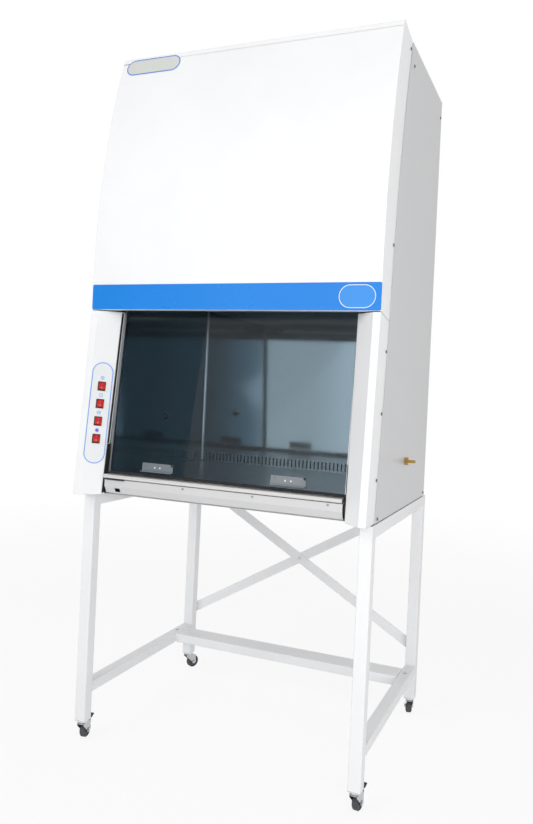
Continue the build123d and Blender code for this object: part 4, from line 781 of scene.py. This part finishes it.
def pan_screw(name, radius, rise, cross, finish):
    """A pan-head screw on Z = 0 with a cross recess in its rounded head."""
    bpy.ops.object.select_all(action="DESELECT")
    bpy.ops.mesh.primitive_circle_add(vertices=24, radius=radius, fill_type="NGON", location=(0, 0, 0))
    screw = bpy.context.object
    screw.name = name
    bpy.ops.object.mode_set(mode="EDIT")
    bpy.ops.mesh.select_all(action="SELECT")
    bpy.ops.mesh.extrude_region_move(TRANSFORM_OT_translate={"value": (0, 0, rise * 0.45)})
    bpy.ops.mesh.select_all(action="SELECT")
    bpy.ops.mesh.normals_make_consistent(inside=False)
    pick(screw, lambda middle, normal: normal.z > 0.9)
    bpy.ops.mesh.inset(thickness=radius * 0.16, depth=rise * 0.35)
    bpy.ops.mesh.inset(thickness=radius * 0.34, depth=rise * 0.20)
    bpy.ops.mesh.inset(thickness=radius * 0.12, depth=-cross)
    bpy.ops.object.mode_set(mode="OBJECT")
    screw.data.materials.append(finish)
    return screw


def copy_of(piece, name):
    """A copy of a piece with its own mesh."""
    twin = piece.copy()
    twin.data = piece.data.copy()
    twin.name = name
    bpy.context.scene.collection.objects.link(twin)
    return twin


sill_low, sill_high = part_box("sill_panel")
sill_screw = pan_screw("sill_screw_0", screw_head, screw_rise, cross_depth, sill_zinc)
for number in range(screw_count):
    screw = sill_screw if number == screw_count - 1 else copy_of(sill_screw, f"sill_screw_{number + 1}")
    set_down(screw, Matrix.Translation((screw_first + number * screw_pitch, sill_low.y, screw_z))
             @ Matrix.Rotation(radians(90), 4, "X"), "cabinet")

# A black block in the dark gap under the lip's left end: painted shadow.
bpy.ops.object.select_all(action="DESELECT")
bpy.ops.mesh.primitive_cube_add(size=1.0, location=(0, 0, 0))
shadow_block = bpy.context.object
shadow_block.name = "lip_shadow_block"
bpy.ops.object.mode_set(mode="EDIT")
bpy.ops.transform.resize(value=(shadow_block_length, shadow_block_deep, shadow_block_high))
bpy.ops.mesh.select_all(action="SELECT")
bpy.ops.mesh.bevel(offset=shadow_block_soft, segments=3)
bpy.ops.object.mode_set(mode="OBJECT")
shadow_block.data.materials.append(black_stop_and_shadow)
shadow_block_place = (sill_low.x + shadow_block_inset + shadow_block_length / 2, sill_low.y - shadow_block_ahead, sill_high.z + shadow_block_above)
set_down(shadow_block, Matrix.Translation(shadow_block_place), "cabinet")

# ------------------------------------------------------------------ work chamber
# Polished stainless sheet: two side walls, a back wall slotted along its foot, a drain
# pan, and the work surface with its front air grille. The diffuser above is perforated.
steel_tint = (0.485, 0.55, 0.59, 1.0)
tray_tint = (0.56, 0.58, 0.60, 1.0)
chamber_steel = bare_metal("chamber_steel", steel_tint, (3.0, 3.0, 260.0), 0.075, 0.022, 0.00001)
tray_steel = bare_metal("tray_steel", tray_tint, (260.0, 4.0, 260.0), 0.34, 0.05, 0.00001)
dress(("inner_walls", "inner_back_wall"), chamber_steel)
dress(("work_tray", "drain_pan"), tray_steel)

# A rounded bead closes each rear corner, and a folded edge ends each side wall. Both
# use a steel far brighter than the walls' own, as a painted highlight.
highlight_bead_steel = bare_metal("highlight_bead_steel", (0.86, 0.88, 0.90, 1.0), (60.0, 60.0, 60.0), 0.22, 0.04)
bead_size = 0.012
bead_soft = 0.0055
bead_foot = 0.9135
bead_head = 1.538
wall_inset = 0.0015
fold_foot = 0.925
fold_head = 1.500
fold_thick = 0.0016
fold_deep = 0.0040
fold_soft = 0.0005
front_setback = 0.0375
wall_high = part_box("inner_walls")[1]
wall_x = wall_high.x - wall_inset
for side, word in ((-1, "left"), (1, "right")):
    upright_bar(f"corner_bead_{word}", (side * wall_x, wall_high.y, bead_foot),
                (side * wall_x, wall_high.y, bead_head), bead_size, bead_size, bead_soft, highlight_bead_steel)
    ends = [(side * (wall_x - fold_thick / 2), edge_point(z).y + front_setback, z)
            for z in (fold_foot, fold_head)]
    upright_bar(f"wall_edge_{word}", ends[0], ends[1], fold_thick, fold_deep, fold_soft, highlight_bead_steel)


def perforated_white():
    """White sheet with rows of small round holes, painted on as dark dots."""
    made, tree, shader = blank_finish("diffuser_white")
    where = add_node(tree, "ShaderNodeTexCoord").outputs["Object"]
    cells = add_node(tree, "ShaderNodeVectorMath", {0: where, 1: (125.0, 125.0, 0.0)}, operation="MULTIPLY")
    parts = add_node(tree, "ShaderNodeVectorMath", {0: cells.outputs[0]}, operation="FRACTION")
    middle = add_node(tree, "ShaderNodeVectorMath", {0: parts.outputs[0], 1: (0.5, 0.5, 0.0)},
                      operation="SUBTRACT")
    reach = add_node(tree, "ShaderNodeVectorMath", {0: middle.outputs[0]}, operation="LENGTH")
    hole = add_node(tree, "ShaderNodeMapRange", {"Value": reach.outputs["Value"], "From Min": 0.20,
                                                 "From Max": 0.24})
    clouds = add_node(tree, "ShaderNodeTexNoise", {"Vector": where, "Scale": 6.0, "Detail": 4.0})
    shade = add_node(tree, "ShaderNodeMapRange", {"Value": clouds.outputs[0], "To Min": 0.70,
                                                  "To Max": 0.80})
    colour = add_node(tree, "ShaderNodeMath", {0: hole.outputs[0], 1: shade.outputs[0]},
                      operation="MULTIPLY")
    tree.links.new(colour.outputs[0], shader.inputs["Base Color"])
    tree.links.new(shade.outputs[0], shader.inputs["Roughness"])
    bump_onto(tree, shader, hole.outputs[0], 0.0004, 0.8)
    return made


dress(("diffuser",), perforated_white())

# ------------------------------------------------------------------ air system
# Above the chamber: a boxed supply filter, the pressure box of galvanised sheet, the
# blower with its scroll, motor and wheel, and the exhaust filter under the roof.
galvanised = (0.52, 0.55, 0.57, 1.0)


def spangled(name, colour, scale):
    """Zinc-coated sheet with its crystal spangle."""
    made, tree, shader = blank_finish(name, Metallic=1.0)
    where = add_node(tree, "ShaderNodeTexCoord").outputs["Object"]
    crystals = add_node(tree, "ShaderNodeTexVoronoi", {"Vector": where, "Scale": scale})
    stain = add_node(tree, "ShaderNodeTexNoise", {"Vector": where, "Scale": 8.0, "Detail": 6.0})
    tone = add_node(tree, "ShaderNodeSeparateColor", {0: crystals.outputs["Color"]})
    shade = add_node(tree, "ShaderNodeMapRange", {"Value": tone.outputs[0], "To Min": 0.82, "To Max": 1.08})
    tint = add_node(tree, "ShaderNodeVectorMath", {0: colour[:3], "Scale": shade.outputs[0]},
                    operation="SCALE")
    rough = add_node(tree, "ShaderNodeMapRange", {"Value": stain.outputs[0], "From Min": 0.3,
                                                  "From Max": 0.7, "To Min": 0.32, "To Max": 0.52})
    tree.links.new(tint.outputs[0], shader.inputs["Base Color"])
    tree.links.new(rough.outputs[0], shader.inputs["Roughness"])
    bump_onto(tree, shader, crystals.outputs["Distance"], 0.00004, 0.5)
    return made


def pleated(name):
    """A filter's glass-fibre pack: tight pleats of off-white paper."""
    made, tree, shader = blank_finish(name, Roughness=0.9)
    where = add_node(tree, "ShaderNodeTexCoord").outputs["Object"]
    pleats = add_node(tree, "ShaderNodeTexWave", {"Vector": where, "Scale": 55.0, "Distortion": 0.4,
                                                  "Detail": 2.0}, bands_direction="X")
    clouds = add_node(tree, "ShaderNodeTexNoise", {"Vector": where, "Scale": 14.0, "Detail": 5.0})
    # The pleat bands darken the paper in its folds as painted shade; the clouds add a random tone.
    pleat_shade_and_clouding = add_node(tree, "ShaderNodeMath", {0: pleats.outputs["Fac"], 1: clouds.outputs[0]},
                     operation="MULTIPLY")
    shade = add_node(tree, "ShaderNodeMapRange", {"Value": pleat_shade_and_clouding.outputs[0], "To Min": 0.42, "To Max": 0.86})
    tree.links.new(shade.outputs[0], shader.inputs["Base Color"])
    bump_onto(tree, shader, pleats.outputs["Fac"], 0.0012, 0.8)
    return made


sheet_zinc = spangled("sheet_zinc", galvanised, 90.0)
filter_paper = pleated("filter_paper")
motor_paint = powder_coat("motor_paint", (0.030, 0.032, 0.036, 1.0), 0.45, 300.0, 0.05)
rotor_zinc = spangled("rotor_zinc", (0.56, 0.58, 0.60), 140.0)
dress(("plenum_box", "blower_housing", "weight_guides"), sheet_zinc)
dress(("hepa_filters",), filter_paper)
dress(("blower_motor",), motor_paint)
dress(("blower_rotor",), rotor_zinc)

# ------------------------------------------------------------------ sash
# A sliding pane of smoked safety glass in thin steel side channels, with a black
# rubber bar along its foot and two small stainless handles screwed to it.
smoke = (0.605, 0.675, 0.71, 1.0)
trim_edge = 0.4112
# The stainless handles get a dark grey base colour: painted shade.
handle_shaded_tint = (0.27, 0.29, 0.31, 1.0)

made, tree, shader = blank_finish("smoked_glass", Base_Color=smoke, Transmission_Weight=1.0, IOR=1.30,
                                  Specular_IOR_Level=0.25, Metallic=0.0, Roughness=0.0)
where = add_node(tree, "ShaderNodeTexCoord").outputs["Object"]
wipe = add_node(tree, "ShaderNodeTexNoise", {"Vector": where, "Scale": 3.0, "Detail": 5.0})
film = add_node(tree, "ShaderNodeMapRange", {"Value": wipe.outputs[0], "From Min": 0.45, "From Max": 0.8,
                                             "To Min": 0.0, "To Max": 0.018})
tree.links.new(film.outputs[0], shader.inputs["Roughness"])
smoked_glass = made
dress(("sash_glass",), smoked_glass)

made, tree, shader = blank_finish("sash_edging")
where = add_node(tree, "ShaderNodeTexCoord").outputs["Object"]
sides = add_node(tree, "ShaderNodeSeparateXYZ", {0: where})
reach = add_node(tree, "ShaderNodeMath", {0: sides.outputs["X"]}, operation="ABSOLUTE")
steel = add_node(tree, "ShaderNodeMath", {0: reach.outputs[0], 1: trim_edge}, operation="GREATER_THAN")
grain = add_node(tree, "ShaderNodeTexNoise", {"Vector": where, "Scale": 300.0, "Detail": 3.0})
colour = add_node(tree, "ShaderNodeMix", {0: steel.outputs[0], 6: strip_black, 7: (0.70, 0.71, 0.72, 1.0)},
                  data_type="RGBA")
dull = add_node(tree, "ShaderNodeMapRange", {"Value": steel.outputs[0], "To Min": 0.70, "To Max": 0.26})
rough = add_node(tree, "ShaderNodeMath", {0: grain.outputs[0], 1: 0.12, 2: dull.outputs[0]},
                 operation="MULTIPLY_ADD")
tree.links.new(colour.outputs[2], shader.inputs["Base Color"])
tree.links.new(rough.outputs[0], shader.inputs["Roughness"])
tree.links.new(steel.outputs[0], shader.inputs["Metallic"])
bump_onto(tree, shader, grain.outputs[0], 0.00005, 0.6)
dress(("sash_trim",), made)

# The handles' dark grey is painted shade.
handle_shaded_steel = bare_metal("handle_shaded_steel", handle_shaded_tint, (12.0, 700.0, 700.0), 0.42, 0.08)
guide_steel = bare_metal("guide_steel", (0.60, 0.61, 0.62, 1.0), (300.0, 300.0, 8.0), 0.30, 0.08)
dress(("sash_handles",), handle_shaded_steel)
dress(("sash_guides",), guide_steel)

# Two small screws hold each handle through the glass, beside a dark stop at its corner.
# Each is given as its distance across and up from the handle's foot, and its radius.
sash_up = Vector(joints["sash_slide"]["axis"])
sash_front = Vector((1, 0, 0)).cross(sash_up)
sash_foot = Vector((0.0, -0.38643, 0.92213))
handle_middle = 0.230
glass_front = 0.0025
handle_screw = (0.0095, 0.030, 0.0028)
handle_stop = (0.0530, 0.0405, 0.0042)
head_rise = 0.0014
head_cross = 0.0006
screw_white = powder_coat("screw_white", (0.82, 0.83, 0.84, 1.0), 0.35, 800.0, 0.03, 0.0003)
facing_out = Matrix((Vector((1, 0, 0)), sash_up, sash_front)).transposed().to_4x4()
for side, word in ((-1, "left"), (1, "right")):
    heads = ((-1, handle_screw, screw_white), (1, handle_screw, screw_white), (1, handle_stop, black_stop_and_shadow))
    for number, (way, (across, up, radius), finish) in enumerate(heads):
        screw = pan_screw(f"handle_screw_{word}_{number}", radius, head_rise, head_cross, finish)
        spot = (sash_foot + Vector((side * handle_middle + way * across, 0, 0)) + sash_up * up
                + sash_front * glass_front)
        set_down(screw, Matrix.Translation(spot) @ facing_out, "sash")

cast_grey = moulded("cast_grey", (0.12, 0.125, 0.13, 1.0), 0.62, peel=260.0, clouding=0.08)
pulley_nylon = moulded("pulley_nylon", (0.62, 0.60, 0.54, 1.0), 0.42)
dress(("counterweight_left", "counterweight_right"), cast_grey)
dress(("pulley_left", "pulley_right"), pulley_nylon)

# ------------------------------------------------------------------ lamps and services
# Two tubes in white end holders under the diffuser, a steel vacuum outlet on the left wall,
# and a gas cock inside the right wall with its brass nozzle outside.
tube_end = 0.288
made, tree, shader = blank_finish("lamp_glass", Coat_Weight=0.0)
where = add_node(tree, "ShaderNodeTexCoord").outputs["Object"]
sides = add_node(tree, "ShaderNodeSeparateXYZ", {0: where})
reach = add_node(tree, "ShaderNodeMath", {0: sides.outputs["X"]}, operation="ABSOLUTE")
cap = add_node(tree, "ShaderNodeMath", {0: reach.outputs[0], 1: tube_end}, operation="GREATER_THAN")
dust = add_node(tree, "ShaderNodeTexNoise", {"Vector": where, "Scale": 40.0, "Detail": 4.0})
colour = add_node(tree, "ShaderNodeMix", {0: cap.outputs[0], 6: (0.88, 0.90, 0.90, 1.0),
                                          7: (0.62, 0.63, 0.64, 1.0)}, data_type="RGBA")
rough = add_node(tree, "ShaderNodeMapRange", {"Value": dust.outputs[0], "To Min": 0.12, "To Max": 0.34})
tree.links.new(colour.outputs[2], shader.inputs["Base Color"])
tree.links.new(rough.outputs[0], shader.inputs["Roughness"])
tree.links.new(cap.outputs[0], shader.inputs["Metallic"])
dress(("lamp_tubes",), made)
socket_white = moulded("socket_white", (0.80, 0.80, 0.78, 1.0), 0.38, peel=1100.0)
dress(("lamp_holders",), socket_white)
outlet_steel = bare_metal("outlet_steel", (0.34, 0.35, 0.36, 1.0), (400.0, 400.0, 400.0), 0.34, 0.08)
dress(("wall_outlet",), outlet_steel)
nozzle_brass = bare_metal("nozzle_brass", (0.58, 0.38, 0.13, 1.0), (500.0, 500.0, 500.0), 0.30, 0.10)
lever_brass = bare_metal("lever_brass", (0.62, 0.43, 0.16, 1.0), (400.0, 400.0, 400.0), 0.26, 0.08)
dress(("gas_fitting",), nozzle_brass)
dress(("gas_cock_lever",), lever_brass)
